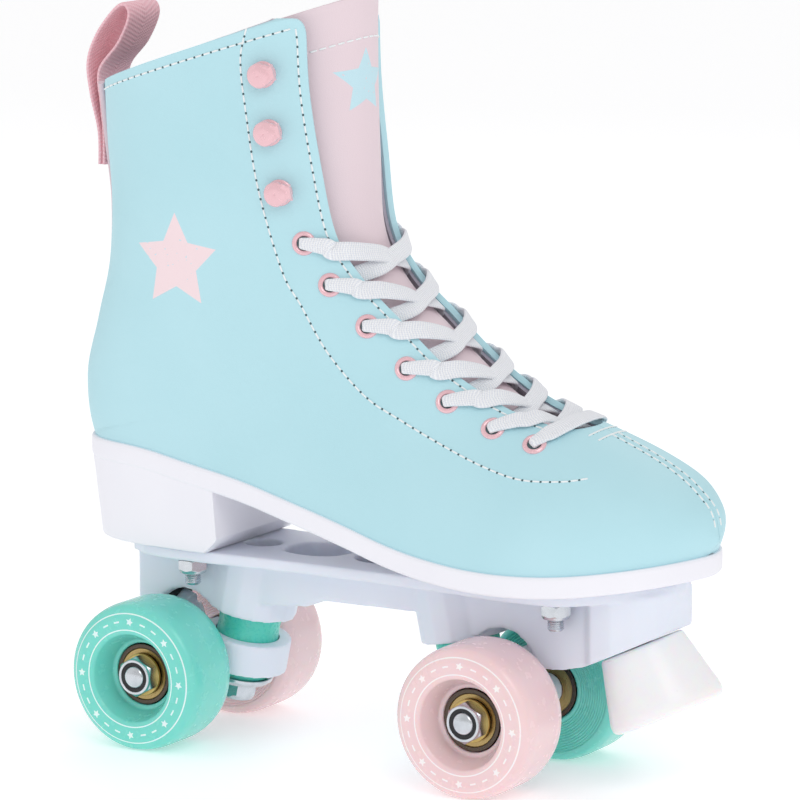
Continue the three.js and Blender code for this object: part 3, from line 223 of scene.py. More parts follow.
def moulded(name, base, shade, roughness, subsurface=0.0, speckle=700, **values):
    def paint(tree):
        flow = noise(tree, 30, 2)
        grain = noise(tree, speckle, 4)
        return {"Base Color": mixed(tree, flow, colour(base), colour(shade)),
                "Roughness": roughness + grain * 0.12,
                "Height": (grain, 0.08, 0.0003)}
    return finish(name, paint, Subsurface_Weight=subsurface, Subsurface_Scale=0.004, **values)


def metal(name, base, dark, roughness):
    def paint(tree):
        stains = noise(tree, 240, 5)
        scratch = noise(tree, 2600, 2)
        return {"Base Color": mixed(tree, stains, colour(dark), colour(base)),
                "Roughness": roughness + scratch * 0.18, "Height": (scratch, 0.05, 0.0002)}
    return finish(name, paint, Metallic=1.0)


PRINT_RINGS, PRINT_MIDDLE = (23.6, 17.7), 20.7  # radii of the two rings, and of what lies between
PRINT_FACE, PRINT_LINE = 12.6, 0.22             # where the outer face begins, half a ring's width
PRINT_STARS, PRINT_STAR_SIZE = 8, 1.55
DASH_AT, DASH_HALF = 0.27, (0.3, 0.055)         # angle beside a star; half sizes, mm and radians


def wheel_finish(name, base, deep, ink):
    """Cast urethane: rings, stars and dashes printed on the outer face, found from the axle."""
    def paint(tree):
        first, second, out = attribute(tree, "hub").parts()
        radius = (first * first + second * second).root()
        face = out > PRINT_FACE
        large, small = (abs(radius - ring) < PRINT_LINE for ring in PRINT_RINGS)
        share = 2 * math.pi / PRINT_STARS
        angle = Field.node(tree, "ShaderNodeMath", {0: first, 1: second}, operation="ARCTAN2")
        turn = (angle + share / 2) % share - share / 2
        stars = star(tree, radius - PRINT_MIDDLE, turn * PRINT_MIDDLE, PRINT_STAR_SIZE)
        beside = abs(abs(turn) - DASH_AT) < DASH_HALF[1]
        dashes = (abs(radius - PRINT_MIDDLE) < DASH_HALF[0]) * beside
        marks = large.most(small).most(stars).most(dashes) * face
        cloud = noise(tree, 60, 3)
        body = mixed(tree, cloud, colour(base), colour(deep))
        return {"Base Color": mixed(tree, marks * 0.85, body, colour(ink)),
                "Roughness": 0.2 + noise(tree, 300, 4) * 0.12,
                "Height": (noise(tree, 90, 2), 0.05, 0.0003)}
    return finish(name, paint, Coat_Weight=0.25, Coat_Roughness=0.15, Subsurface_Weight=0.25,
                  Subsurface_Scale=0.004)


SHIELD_RADII = (5.7, 9.5)


def bearing_finish():
    """Bronze shield between two dark races, told apart by radius."""
    def paint(tree):
        first, second, _ = attribute(tree, "hub").parts()
        radius = (first * first + second * second).root()
        shield = (radius > SHIELD_RADII[0]) * (radius < SHIELD_RADII[1])
        swirl = (radius * 9).sine() * 0.5 + 0.5
        return {"Base Color": mixed(tree, shield, colour("5a5048"), colour("b29a68")),
                "Roughness": 0.22 + swirl * 0.1 + noise(tree, 900, 3) * 0.1}
    return finish("bearing_metal", paint, Metallic=1.0)


def thread_finish():
    def paint(tree):
        run, _, _ = attribute(tree, "weave").parts()
        twist_relief_and_shade = (run * 9).sine() * 0.5 + noise(tree, 2500, 2)
        # Painted shade: the thread is darker in the grooves of its twist, where the bump is low.
        return {"Base Color": mixed(tree, twist_relief_and_shade, colour("dfe8ea"), colour("ffffff")),
                "Height": (twist_relief_and_shade, 0.3, 0.0002)}
    return finish("thread", paint, Roughness=0.7)


def felt_finish(name, base, dark):
    def paint(tree):
        nap_relief_and_shade = noise(tree, 1500, 5, roughness=0.7)
        # Painted shade: the cloth is darker where its nap is low, in the hollows of the bump.
        return {"Base Color": mixed(tree, nap_relief_and_shade, colour(dark), colour(base)), "Height": (nap_relief_and_shade, 0.5, 0.0005)}
    return finish(name, paint, Roughness=0.95, Sheen_Weight=0.3)


# %% The list of finishes
MATERIALS = {
    "leather": leather("aqua_leather", "b4dfe8", "c0e7f0", (17.5, "f6dfe3")),
    "tongue": leather("pink_leather", "e6d2d9", "ebd9df", (12.0, "c6e6f0")),
    "piping": leather("piping_leather", "dcc3cc", "e4d0d7"),
    "lining": felt_finish("lining_cloth", "d0cad5", "aea7b6"),
    "webbing": woven("loop_webbing", "f9d0d7", "ecb0bb", 1.5),
    "lace": woven("lace_weave", "ffffff", "dde1ec", 0.9),
    "thread": thread_finish(),
    "sole": moulded("sole_moulding", "f6f5fb", "efeef6", 0.42),
    "nylon": moulded("plate_nylon", "eaeef8", "dfe5f2", 0.36, subsurface=0.1),
    "stop": moulded("stop_urethane", "fbfbfd", "efeff3", 0.24, subsurface=0.5),
    "cushion": moulded("cushion_urethane", "66ddcb", "50d0bd", 0.22, subsurface=0.6),
    "teal_wheel": wheel_finish("teal_urethane", "7fe0d3", "6fd8ca", "f2fffd"),
    "pink_wheel": wheel_finish("pink_urethane", "f5dadb", "f0cfd2", "fffafa"),
    "bearing": bearing_finish(),
    "steel": metal("zinc_steel", "e3e6ea", "b4b9c0", 0.14),
    "gold": metal("zinc_passivated", "d8c07c", "a98f52", 0.22),
    "lacquer": moulded("pink_lacquer", "f2c9cf", "eab7bf", 0.2, Metallic=0.25, Coat_Weight=0.5),
    "cup": moulded("black_rubber", "2b2b2e", "202023", 0.6),
    # dark discs of painted shade for the needle holes and the eyelets' holes
    "painted_hole_shade": moulded("painted_hole_shade", "5c6f74", "46585c", 0.9),
}
print("finishes:", len(MATERIALS))

# %% [markdown]
# Mesh helpers. Every piece ends as one mesh with its place in its points. Its doubles are
# merged first, and then its faces are turned outwards.

# %% Mesh helpers
def make_mesh(name, points, faces, material, fields=None, sharp=40, merge=0.004):
    mesh = bpy.data.meshes.new(name)
    mesh.from_pydata(to_frame(points).tolist(), [], faces)
    for field, values in (fields or {}).items():
        layer = mesh.attributes.new(field, "FLOAT_VECTOR", "POINT")
        layer.data.foreach_set("vector", np.asarray(values, np.float32).ravel())
    made = bmesh.new()
    made.from_mesh(mesh)
    bmesh.ops.remove_doubles(made, verts=made.verts, dist=merge / 1000)
    bmesh.ops.recalc_face_normals(made, faces=made.faces)
    made.to_mesh(mesh)
    made.free()
    mesh.shade_smooth()
    mesh.set_sharp_from_angle(angle=math.radians(sharp))
    piece = bpy.data.objects.new(name, mesh)
    scene.collection.objects.link(piece)
    mesh.materials.append(MATERIALS[material])
    return piece


def freeze(piece):
    """Turns a piece with modifiers into a plain mesh."""
    held = piece.evaluated_get(bpy.context.evaluated_depsgraph_get())
    mesh = bpy.data.meshes.new_from_object(held)
    piece.modifiers.clear()
    piece.data = mesh
    return piece


def bevelled(piece, width, segments=2, angle=50):
    bevel = piece.modifiers.new("edges", "BEVEL")
    bevel.width = width / 1000
    bevel.segments = segments
    bevel.limit_method = "ANGLE"
    bevel.angle_limit = math.radians(angle)
    freeze(piece)
    piece.data.shade_smooth()
    piece.data.set_sharp_from_angle(angle=math.radians(60))
    return piece


def placed(piece, slot, *nodes, body=BOOT):
    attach(piece, body)
    if nodes:
        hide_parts(*nodes)
    return piece


# %% [markdown]
# Lofts. Almost everything is a loft: a row of loops joined by quads. A turned piece is a loft
# of circles, a lace is a loft of flat ovals and the sole is a loft of its outline. Turning
# could be left to a Screw modifier, but here each point also keeps its place about the axis,
# which the prints on the wheels need.

# %% Lofts and turned pieces
def loft(loops, wrap=False, caps=True):
    """Points and faces of closed loops joined in a row; wrap joins the last to the first."""
    loops = np.asarray(loops, float)
    rows, count = loops.shape[:2]
    faces = []
    for i in range(rows if wrap else rows - 1):
        a, b = i * count, ((i + 1) % rows) * count
        faces += [(a + j, a + (j + 1) % count, b + (j + 1) % count, b + j) for j in range(count)]
    if caps and not wrap:
        faces.append(tuple(range(count - 1, -1, -1)))
        faces.append(tuple((rows - 1) * count + j for j in range(count)))
    return loops.reshape(-1, 3), faces


def merged(parts):
    """One set of points and faces from several."""
    points, faces, start = [], [], 0
    for part_points, part_faces in parts:
        faces += [tuple(v + start for v in face) for face in part_faces]
        points.append(part_points)
        start += len(part_points)
    return np.concatenate(points), faces


def rounded(profile, radius, closed=True, steps=3):
    """The profile with each corner turned into a small curve."""
    points = [np.array(p, float) for p in profile]
    count = len(points)
    out = []
    for i, corner in enumerate(points):
        if not closed and i in (0, count - 1):
            out.append(corner)
            continue
        before, after = points[i - 1], points[(i + 1) % count]
        cuts = [other - corner for other in (before, after)]
        lengths = [max(np.linalg.norm(c), 1e-9) for c in cuts]
        reach = min(radius, *(0.45 * length for length in lengths))
        start, end = (corner + c / length * reach for c, length in zip(cuts, lengths))
        for t in np.linspace(0, 1, steps + 1):
            out.append(start * (1 - t) ** 2 + corner * 2 * t * (1 - t) + end * t ** 2)
    return out


def frame_about(axis):
    axis = np.asarray(axis, float) / np.linalg.norm(axis)
    first = np.cross(axis, [0.0, 0.0, 1.0] if abs(axis[2]) < 0.9 else [1.0, 0.0, 0.0])
    first /= np.linalg.norm(first)
    return first, np.cross(axis, first), axis


def turned(name, profile, centre, axis, material, flats=0, segments=96, sharp=40):
    """Closed profile of (radius, height) turned about an axis; flats cuts it to a hexagon."""
    first, second, axis = frame_about(axis)
    angles = np.linspace(0, 2 * math.pi, segments, endpoint=False)
    limit = np.full(segments, 1e9)
    if flats:
        sixth = math.pi / 3
        limit = flats / 2 / np.cos((angles + sixth / 2) % sixth - sixth / 2)
    loops, hub = [], []
    for radius, height in profile:
        r = np.minimum(radius, limit)
        a, b = r * np.cos(angles), r * np.sin(angles)
        loops.append(np.asarray(centre) + np.outer(a, first) + np.outer(b, second) + height * axis)
        hub.append(np.stack([a, b, np.full(segments, height)], 1))
    points, faces = loft(loops, wrap=True)
    return make_mesh(name, points, faces, material, {"hub": np.concatenate(hub)}, sharp=sharp)


def joined(name, pieces):
    """Several pieces made into one object that keeps each one's material."""
    with bpy.context.temp_override(active_object=pieces[0], selected_editable_objects=pieces):
        bpy.ops.object.join()
    pieces[0].name = name
    return pieces[0]


# %% [markdown]
# Copies. Stitches, needle holes and eyelets are one small shape each, set out along the
# leather. Geometry Nodes put a copy on each point of a cloud: the point's way out and its way
# along are stored on it and turn the copy. The tree ends in real geometry with its finish set.

# %% Copies on places
def repeated(name, places, template, material):
    """Copies of a small template set on places, each a point, a way along and a way out."""
    points, ways, outs = (np.array(column) for column in zip(*places))
    cloud = bpy.data.meshes.new(name)
    cloud.from_pydata(to_frame(points).tolist(), [], [])
    for field, values in (("way", ways), ("out", outs)):
        layer = cloud.attributes.new(field, "FLOAT_VECTOR", "POINT")
        layer.data.foreach_set("vector", values.astype(np.float32).ravel())
    piece = bpy.data.objects.new(name, cloud)
    scene.collection.objects.link(piece)
    modifier = piece.modifiers.new("copies", "NODES")
    modifier.node_group = REPEAT_TREE
    sockets = {item.name: item.identifier for item in REPEAT_TREE.interface.items_tree
               if item.item_type == "SOCKET" and item.in_out == "INPUT"}
    modifier[sockets["Template"]] = template
    modifier[sockets["Size"]] = 1.0
    modifier[sockets["Finish"]] = MATERIALS[material]
    freeze(piece)
    bpy.data.objects.remove(template)
    print(name, len(points), "copies")
    return piece


def repeat_tree():
    tree = bpy.data.node_groups.new("copies_on_places", "GeometryNodeTree")
    face = tree.interface
    face.new_socket("Geometry", in_out="INPUT", socket_type="NodeSocketGeometry")
    face.new_socket("Template", in_out="INPUT", socket_type="NodeSocketObject")
    face.new_socket("Size", in_out="INPUT", socket_type="NodeSocketFloat")
    face.new_socket("Finish", in_out="INPUT", socket_type="NodeSocketMaterial")
    face.new_socket("Geometry", in_out="OUTPUT", socket_type="NodeSocketGeometry")
    nodes = {kind: tree.nodes.new(kind) for kind in (
        "NodeGroupInput", "NodeGroupOutput", "GeometryNodeObjectInfo", "FunctionNodeAxesToRotation",
        "GeometryNodeInstanceOnPoints", "GeometryNodeRealizeInstances", "GeometryNodeSetMaterial")}
    entry, spread = nodes["NodeGroupInput"], nodes["GeometryNodeInstanceOnPoints"]
    turn = nodes["FunctionNodeAxesToRotation"]
    turn.primary_axis, turn.secondary_axis = "Z", "X"
    named = {}
    for field in ("out", "way"):
        named[field] = tree.nodes.new("GeometryNodeInputNamedAttribute")
        named[field].data_type = "FLOAT_VECTOR"
        named[field].inputs["Name"].default_value = field
    link = tree.links.new
    link(named["out"].outputs["Attribute"], turn.inputs["Primary Axis"])
    link(named["way"].outputs["Attribute"], turn.inputs["Secondary Axis"])
    link(entry.outputs["Template"], nodes["GeometryNodeObjectInfo"].inputs["Object"])
    link(entry.outputs["Geometry"], spread.inputs["Points"])
    link(nodes["GeometryNodeObjectInfo"].outputs["Geometry"], spread.inputs["Instance"])
    link(turn.outputs["Rotation"], spread.inputs["Rotation"])
    link(entry.outputs["Size"], spread.inputs["Scale"])
    link(spread.outputs["Instances"], nodes["GeometryNodeRealizeInstances"].inputs["Geometry"])
    paint = nodes["GeometryNodeSetMaterial"]
    link(nodes["GeometryNodeRealizeInstances"].outputs["Geometry"], paint.inputs["Geometry"])
    link(entry.outputs["Finish"], paint.inputs["Material"])
    link(paint.outputs["Geometry"], nodes["NodeGroupOutput"].inputs["Geometry"])
    return tree


REPEAT_TREE = repeat_tree()
print("copies tree:", len(REPEAT_TREE.nodes), "nodes")


def template(profile, segments=24, stretch=(1.0, 1.0, 1.0)):
    """A small turned piece about +Z at the origin, for copies."""
    piece = turned("template", profile, -SHIFT, (0, 0, 1), "thread", segments=segments, sharp=60)
    for vertex in piece.data.vertices:
        vertex.co = Vector(c * s for c, s in zip(vertex.co, stretch))
    scene.collection.objects.unlink(piece)
    return piece


# %% [markdown]
# The boot's own lines, as in the CAD source: sections fan out from the collar, round the
# heel, to the toe. Here they are sampled finely, so the leather is smooth.

# %% Boot lines
BACK_X = [-99, -98, -96.5, -98, -103, -107.5, -103, -86, -55, -15, 30, 66, 92, 110, 122, 131, 140.5]
BACK_Z = [236, 216, 195, 172, 151, 129, 106, 90, 80, 72, 65, 62, 64, 67, 71, 77, 90]
FRONT_X = [12, 12, 12.5, 14, 23, 38, 53, 64, 75, 85.5, 97, 109, 119, 127.5, 134, 138.5, 140.5]
FRONT_Z = [272, 244, 216, 190, 174, 161, 148.5, 140.5, 134, 130, 126.5, 121.5, 116.5, 111, 105, 99, 90]
HALF_WIDTH = [34, 34, 33.5, 32.5, 32, 31.5, 31.5, 32, 33, 36, 39, 41, 38.5, 32.5, 24, 13.5, 0]
CENTRE_Y = [0] * 9 + [0.5, 1, 2, 3.5, 5, 6, 6.5, 6.5]
WIDEST_AT = [0.42, 0.42, 0.42, 0.4, 0.36, 0.32, 0.3, 0.32, 0.34, 0.36, 0.38, 0.4, 0.42, 0.44, 0.46, 0.5, 0.5]
BACK_FULLNESS = [2.4] * 4 + [2.5, 2.7] + [2.8] * 7 + [2.6, 2.4, 2.2, 2.2]
FRONT_FULLNESS = [2.2, 2.2, 2.3, 2.45, 2.6, 2.8, 2.85, 2.7, 2.5, 2.25] + [2.1] * 3 + [2.2] * 4
THROAT_HALF = [25, 24.5, 23, 20.5, 18.5, 18, 17.5, 16, 14.5, 13, 12]
TOE, THROAT_END, THROAT_ROUNDING = 16, 9.9, 0.5
COLLAR_CORNER, COLLAR_CORNER_CUT = 0.4, 4
SOLE_TOP = np.array([[-112, 109.5], [-72, 109], [-51, 105], [-30, 101.5], [-11, 96.5], [12, 91],
                     [36, 84], [56, 80.8], [72, 79.8], [96, 80.3], [115, 82.5], [142, 86]])
STEPS = 96
print("boot lines:", len(BACK_X), "stations, the lists agree:",
      len({len(BACK_X), len(BACK_Z), len(FRONT_X), len(FRONT_Z), len(HALF_WIDTH), len(CENTRE_Y)}) == 1)


# %% [markdown]
# Sections. A station is a real number along the lists above, and one section is a curve from
# the back line to the front line on one side. Paths are cut and spaced evenly by length.

# %% Sections and paths
def along(values, at):
    last = len(values) - 1
    i = int(min(max(math.floor(at), 0), last - 1))
    t = at - i
    a, b, c, d = values[max(i - 1, 0)], values[i], values[i + 1], values[min(i + 2, last)]
    return b + 0.5 * t * (c - a + t * (2 * a - 5 * b + 4 * c - d + t * (3 * (b - c) + d - a)))


def sole_height(x):
    """Top of the sole: the CAD's straight runs, softened where they meet."""
    spread = np.linspace(-9, 9, 7)
    return np.mean([np.interp(x + s, SOLE_TOP[:, 0], SOLE_TOP[:, 1]) for s in spread], axis=0)


def section(station, side):
    turn = np.linspace(0, 2, STEPS + 1)
    angle = np.minimum(turn, 2 - turn) * math.pi / 2
    low = turn <= 1
    power = np.where(low, 2 / along(BACK_FULLNESS, station), 2 / along(FRONT_FULLNESS, station))
    rise = 1 - np.clip(np.cos(angle), 0, 1) ** power
    widest = along(WIDEST_AT, station)
    share = np.where(low, widest * rise, 1 - (1 - widest) * rise)
    x = along(BACK_X, station) * (1 - share) + along(FRONT_X, station) * share
    z = along(BACK_Z, station) * (1 - share) + along(FRONT_Z, station) * share
    half = max(along(HALF_WIDTH, station), 0)
    y = along(CENTRE_Y, station) + side * half * np.clip(np.sin(angle), 0, 1) ** power
    return np.stack([x, y, z], axis=1)


def throat_half(station):
    if station >= THROAT_END:
        return 0.0
    at = max(station, 0)
    corner = COLLAR_CORNER_CUT * (1 - math.sqrt(1 - max(1 - at / COLLAR_CORNER, 0) ** 2))
    to_end = max((station - THROAT_END + THROAT_ROUNDING) / THROAT_ROUNDING, 0)
    return (along(THROAT_HALF, at) + corner) * math.sqrt(1 - min(to_end, 1) ** 2)


def crossing(values, fallback):
    hits = np.nonzero((values[:-1] < 0) & (values[1:] >= 0))[0]
    if not len(hits):
        return float(fallback)
    i = hits[0]
    return i + values[i] / (values[i] - values[i + 1])


def at_index(path, where):
    i = int(min(where, len(path) - 2))
    return path[i] * (1 - (where - i)) + path[i + 1] * (where - i)


def stretch(path, start, end):
    inner = [path[i] for i in range(len(path)) if start < i < end]
    return np.array([at_index(path, start), *inner, at_index(path, end)])


def evenly(path, count):
    path = np.asarray(path, float)
    reach = np.concatenate([[0], np.cumsum(np.linalg.norm(np.diff(path, axis=0), axis=1))])
    goals = np.linspace(0, reach[-1], count)
    return np.stack([np.interp(goals, reach, path[:, k]) for k in range(path.shape[1])], axis=1)


def smooth_path(points, count):
    """Curve through a few points, sampled evenly."""
    points = np.asarray(points, float)
    fine = [[along(points[:, k], t) for k in range(points.shape[1])]
            for t in np.linspace(0, len(points) - 1, count * 3)]
    return evenly(fine, count)


def upper_row(station, side, columns):
    path = section(station, side)
    start = crossing(path[:, 2] - sole_height(path[:, 0]), 0)
    edge = throat_half(station)
    inward = edge - side * (path[:, 1] - along(CENTRE_Y, station))
    inward[:STEPS // 2] = -1
    end = crossing(inward, STEPS) if edge > 0 else STEPS
    return evenly(stretch(path, start, end), columns)


def sole_station(in_air, in_sole):
    for _ in range(40):
        middle = (in_air + in_sole) / 2
        if along(BACK_Z, middle) > sole_height(along(BACK_X, middle)):
            in_air = middle
        else:
            in_sole = middle
    return in_sole


HEEL, TIP = sole_station(5, 7), sole_station(TOE, 14)
print("the sole line meets the heel at station", round(HEEL, 3), "and the toe at", round(TIP, 3))


# %% [markdown]
# Sheets. Leather is two grids of points, one moved inwards by its thickness, closed by a rim.
# A Solidify modifier would do for a free sheet, but here the seams have to stay on their lines.

# %% Sheets
def unit(vectors):
    length = np.linalg.norm(vectors, axis=-1, keepdims=True)
    return np.where(length > 1e-7, vectors / np.maximum(length, 1e-9), [1.0, 0.0, 0.0])


def grid_normals(grid, side):
    down, across = np.gradient(grid, axis=0), np.gradient(grid, axis=1)
    return unit(np.cross(across, down) * side)


def offset(grid, stations, distance, side, seam_gap, sink=0.5):
    moved = grid + grid_normals(grid, side) * distance
    for i, station in enumerate(stations):
        at_back = station <= HEEL or station >= TIP
        if at_back:
            moved[i, 0, 1] = grid[i, 0, 1] + side * seam_gap
        else:
            moved[i, 0, 2] = sole_height(moved[i, 0, 0]) - sink
        if station >= THROAT_END:
            moved[i, -1, 1] = grid[i, -1, 1] + side * seam_gap
        if station == TOE:
            moved[i, :, 1] = grid[i, :, 1] + side * seam_gap
    return moved


def sheet_faces(rows, columns, flip):
    quads = []
    for i in range(rows - 1):
        for j in range(columns - 1):
            a = i * columns + j
            quad = (a, a + columns, a + columns + 1, a + 1)
            quads.append(quad[::-1] if flip else quad)
    return quads


def thick_sheet(outer, inner):
    """Points and faces of a closed sheet between two grids."""
    rows, columns = outer.shape[:2]
    count = rows * columns
    rim = ([i * columns for i in range(rows)] + [(rows - 1) * columns + j for j in range(1, columns)]
           + [i * columns + columns - 1 for i in range(rows - 2, -1, -1)]
           + [j for j in range(columns - 2, 0, -1)])
    faces = sheet_faces(rows, columns, False)
    faces += [tuple(v + count for v in face) for face in sheet_faces(rows, columns, True)]
    faces += [(a, a + count, b + count, b) for a, b in zip(rim, rim[1:] + rim[:1])]
    return np.concatenate([outer.reshape(-1, 3), inner.reshape(-1, 3)]), faces


# %% [markdown]
# Quarters. Each side is one panel of leather from the back seam to the toe seam, 2.2 mm
# thick, with its cut edge softened. A fine grid over the boot's lines is the plainest way.
# The stations are closer together at the collar, the heel and the toe, where it bends most.

# %% Quarters and lining
COLUMNS = 60
LEG = list(np.linspace(0, COLLAR_CORNER, 9)[:-1]) + list(np.linspace(COLLAR_CORNER, HEEL - 0.05, 54))
ROUND_HEEL = [HEEL + (7 - HEEL) * t ** 2 for t in np.linspace(0, 1, 26)]
FOOT = list(np.linspace(7.1, THROAT_END - THROAT_ROUNDING, 26)) + [
    THROAT_END - THROAT_ROUNDING * (1 - math.sin(t)) for t in np.linspace(0.15, math.pi / 2, 14)]
TOE_PART = list(np.linspace(10, 14.5, 40)) + list(np.linspace(14.6, TIP, 12)) + [
    TIP + (TOE - TIP) * math.sin(t) for t in np.linspace(0.2, math.pi / 2, 12)]
STATIONS = LEG + ROUND_HEEL + FOOT + TOE_PART
ANKLE_STAR = (-55.2, 176.7)
LEATHER_WALL, SEAM_GAP = 2.2, 0.12
NO_BADGE = 500.0  # a place so far off the badge's middle that no star shows
leather_tree = {}
for side_name, side in SIDES.items():
    grid = np.array([upper_row(s, side, COLUMNS) for s in STATIONS])
    outer = offset(grid, STATIONS, 0, side, SEAM_GAP)
    inner = offset(grid, STATIONS, -LEATHER_WALL, side, SEAM_GAP)
    points, faces = thick_sheet(outer, inner)
    badge = np.stack([points[:, 0] - ANKLE_STAR[0], points[:, 2] - ANKLE_STAR[1],
                      np.zeros(len(points))], axis=1)
    if side == INNER:
        badge[:, 0] += NO_BADGE
    quarter = make_mesh(f"{side_name}_quarter_leather", points, faces, "leather", {"badge": badge})
    bevelled(quarter, 0.55)
    placed(quarter, "leather", f"{side_name}_quarter")
    flat = outer.reshape(-1, 3)
    leather_tree[side] = BVHTree.FromPolygons(flat.tolist(), sheet_faces(len(STATIONS), COLUMNS, False))
    print(quarter.name, len(quarter.data.polygons), "faces")

# %% [markdown]
# Lining. A cloth of 1.2 mm just inside the leather, from the collar to just short of the toe.
# It is the same grid set further in, so it keeps its distance from the leather.

# %% Lining
LINING_FACES, LINING_END = (2.3, 3.5), 12
lining_stations = [s for s in STATIONS if s <= LINING_END]
linings = []
for side in SIDES.values():
    grid = np.array([upper_row(s, side, COLUMNS) for s in lining_stations])[:, :COLUMNS - 1]
    linings.append(thick_sheet(*(offset(grid, lining_stations, -depth, side, -0.05, 0.2)
                                 for depth in LINING_FACES)))
lining = make_mesh("boot_lining", *merged(linings), "lining")
placed(lining, "lining", "lining")
print(lining.name, len(lining.data.polygons), "faces")


# %% [markdown]
# Places on the leather. Stitches, eyelets and hooks are set out as a shoemaker marks them: so
# far back from the throat's edge, measured along the leather. A line that is drawn from the
# side is dropped on to the leather by a ray, so it follows every bulge.

# %% Places on the leather
def front_place(station, side, sideways):
    """Point and outward normal on the front of the boot, a given way to one side."""
    def find(at):
        path = section(at, side)
        inward = sideways - side * (path[:, 1] - along(CENTRE_Y, at))
        inward[:STEPS // 2] = -1
        end = crossing(inward, STEPS)
        i = int(min(max(end - 1e-4, 0), STEPS - 1))
        return at_index(path, end), path[i + 1] - path[i]
    (here, tangent), (ahead, _) = find(station), find(station + 0.1)
    return here, unit(np.cross(tangent, ahead - here) * side)


def setback_reach(station, setback):
    """How far sideways a place is that lies a given length of leather behind the throat edge."""
    path = section(station, 1)
    inward = throat_half(station) - (path[:, 1] - along(CENTRE_Y, station))
    inward[:STEPS // 2] = -1
    back = evenly(stretch(path, 0, crossing(inward, STEPS))[::-1], 400)
    walked = np.concatenate([[0], np.cumsum(np.linalg.norm(np.diff(back, axis=0), axis=1))])
    return np.interp(setback, walked, back[:, 1]) - along(CENTRE_Y, station)


EYE = np.array([819.8, -1356.6, 403.9])


def on_leather(points, side, lift=0.0):
    """Points drawn beside the boot, dropped on to one side's leather towards a far point."""
    out = []
    for point in points:
        eye = EYE * [1, -side, 1]
        start = np.array(point, float)
        way = unit(start - eye)
        hit, normal, _, _ = leather_tree[side].ray_cast(Vector(start - way * 400), Vector(way))
        if hit is None:
            continue
        normal = np.array(normal)
        normal = normal if normal @ way < 0 else -normal
        out.append((np.array(hit) + normal * lift, normal))
    return out


def stitch_places(path, spacing):
    """Even places along a path of (point, normal), each with its way and its way out."""
    points = np.array([p for p, _ in path])
    normals = np.array([n for _, n in path])
    length = np.linalg.norm(np.diff(points, axis=0), axis=1).sum()
    count = max(int(length / spacing), 2)
    both = evenly_both(points, normals, count)
    way = unit(np.gradient(both[0], axis=0))
    return [(p, w, n) for p, w, n in zip(both[0], way, both[1])]


def evenly_both(points, normals, count):
    reach = np.concatenate([[0], np.cumsum(np.linalg.norm(np.diff(points, axis=0), axis=1))])
    goals = np.linspace(0, reach[-1], count)
    first, second = (np.stack([np.interp(goals, reach, a[:, k]) for k in range(3)], axis=1)
                     for a in (points, normals))
    return first, unit(second)


# %% [markdown]
# Stitching. Rows of thread run down the eyestay, round the collar and over the toe seam.
# Each stitch is a small capsule, and a dark disc between it and the next is painted shade for its
# needle hole. A bump in the leather's finish would be quicker, but it vanishes at the boot's edges.

# %% Stitching
def side_line(points, side, y):
    path = smooth_path([(x, 0, z) for x, z in points], 260)
    return on_leather([(x, side * y, z) for x, _, z in path], side)


STITCH_PITCH = 3.3
STITCH_LIFT = 0.12
EYESTAY = [(-23, 262), (-26, 250), (-24, 232), (-19, 205), (-9.4, 177), (-2, 166), (9, 150), (24, 136),
           (38, 129), (54, 122), (70, 116), (85, 112.6), (101, 113.4), (110, 115.2)]


def edge_line(first, last, setback, count):
    """Along the throat edge at a fixed setback."""
    lines = {}
    for side in SIDES.values():
        lines[side] = [front_place(s, side, setback_reach(s, setback))
                       for s in np.linspace(first, last, count)]
    return lines


def collar_line(side, drop):
    """Below the collar's top edge, from the back seam to the throat."""
    station = drop / 20
    row = upper_row(station, side, 80)
    rows = np.array([upper_row(station + d, side, 80) for d in (-0.02, 0, 0.02)])
    normals = grid_normals(rows, side)[1]
    return [(p, n) for p, n in zip(row[14:76], normals[14:76])]


stitches = []
edge_lines = edge_line(0.3, 9.3, 3.2, 120)
for side in SIDES.values():
    stitches += stitch_places(side_line(EYESTAY, side, 35), STITCH_PITCH)
    stitches += stitch_places(edge_lines[side], STITCH_PITCH)
    stitches += stitch_places(collar_line(side, 4.6), STITCH_PITCH)
    seam = [front_place(s, side, 2.2) for s in np.linspace(10.5, 15.3, 90)]
    stitches += stitch_places(seam, 3.0)
    for line in (0, 1):
        tack = [front_place(10.15 + 0.28 * line, side, w) for w in np.linspace(0.6, 9, 12)]
        stitches += stitch_places(tack, 1.5)
capsule = rounded([(0, -1.25), (0.3, -1.2), (0.36, 0), (0.3, 1.2), (0, 1.25)], 0.3, closed=False)


def sewn(name, stitches):
    """A thread capsule lying on each place, just proud of the leather."""
    stitch = turned("template", capsule, -SHIFT, (1, 0, 0), "thread", segments=10, sharp=80)
    scene.collection.objects.unlink(stitch)
    places = [(point + out * STITCH_LIFT, way, out) for point, way, out in stitches]
    placed(repeated(name, places, stitch, "thread"), "lace")


sewn("upper_stitching", stitches)
# Needle holes: a dark disc between each two stitches, painted shade where the thread goes in.
gaps = [((a[0] + b[0]) / 2, a[1], a[2]) for a, b in zip(stitches, stitches[1:])
        if np.linalg.norm(a[0] - b[0]) < 4]
hole = template([(0, -0.1), (0.42, -0.1), (0.42, 0.06), (0, 0.08)], segments=10)
placed(repeated("needle_holes", gaps, hole, "painted_hole_shade"), "leather")

# %% [markdown]
# Tongue. A plain sheet of pink leather that follows the front of the boot inside the throat,
# with one sewn line below its top. It holds its curve by itself, so it is drawn, not simulated.

# %% Tongue
TONGUE_DEPTH, TONGUE_WALL, TONGUE_LAP = 6.4, 2.4, 9
TONGUE_ARCH, ARCH_END = 0.12, 0.6   # how far its top rises in the middle, and where that ends
TONGUE_STAR = (-3, 241)             # across and up
tongue_shares = np.linspace(-1, 1, 61)
tongue_stations = [0, 0.1, 0.3, 0.6] + list(np.linspace(1, THROAT_END, 70))


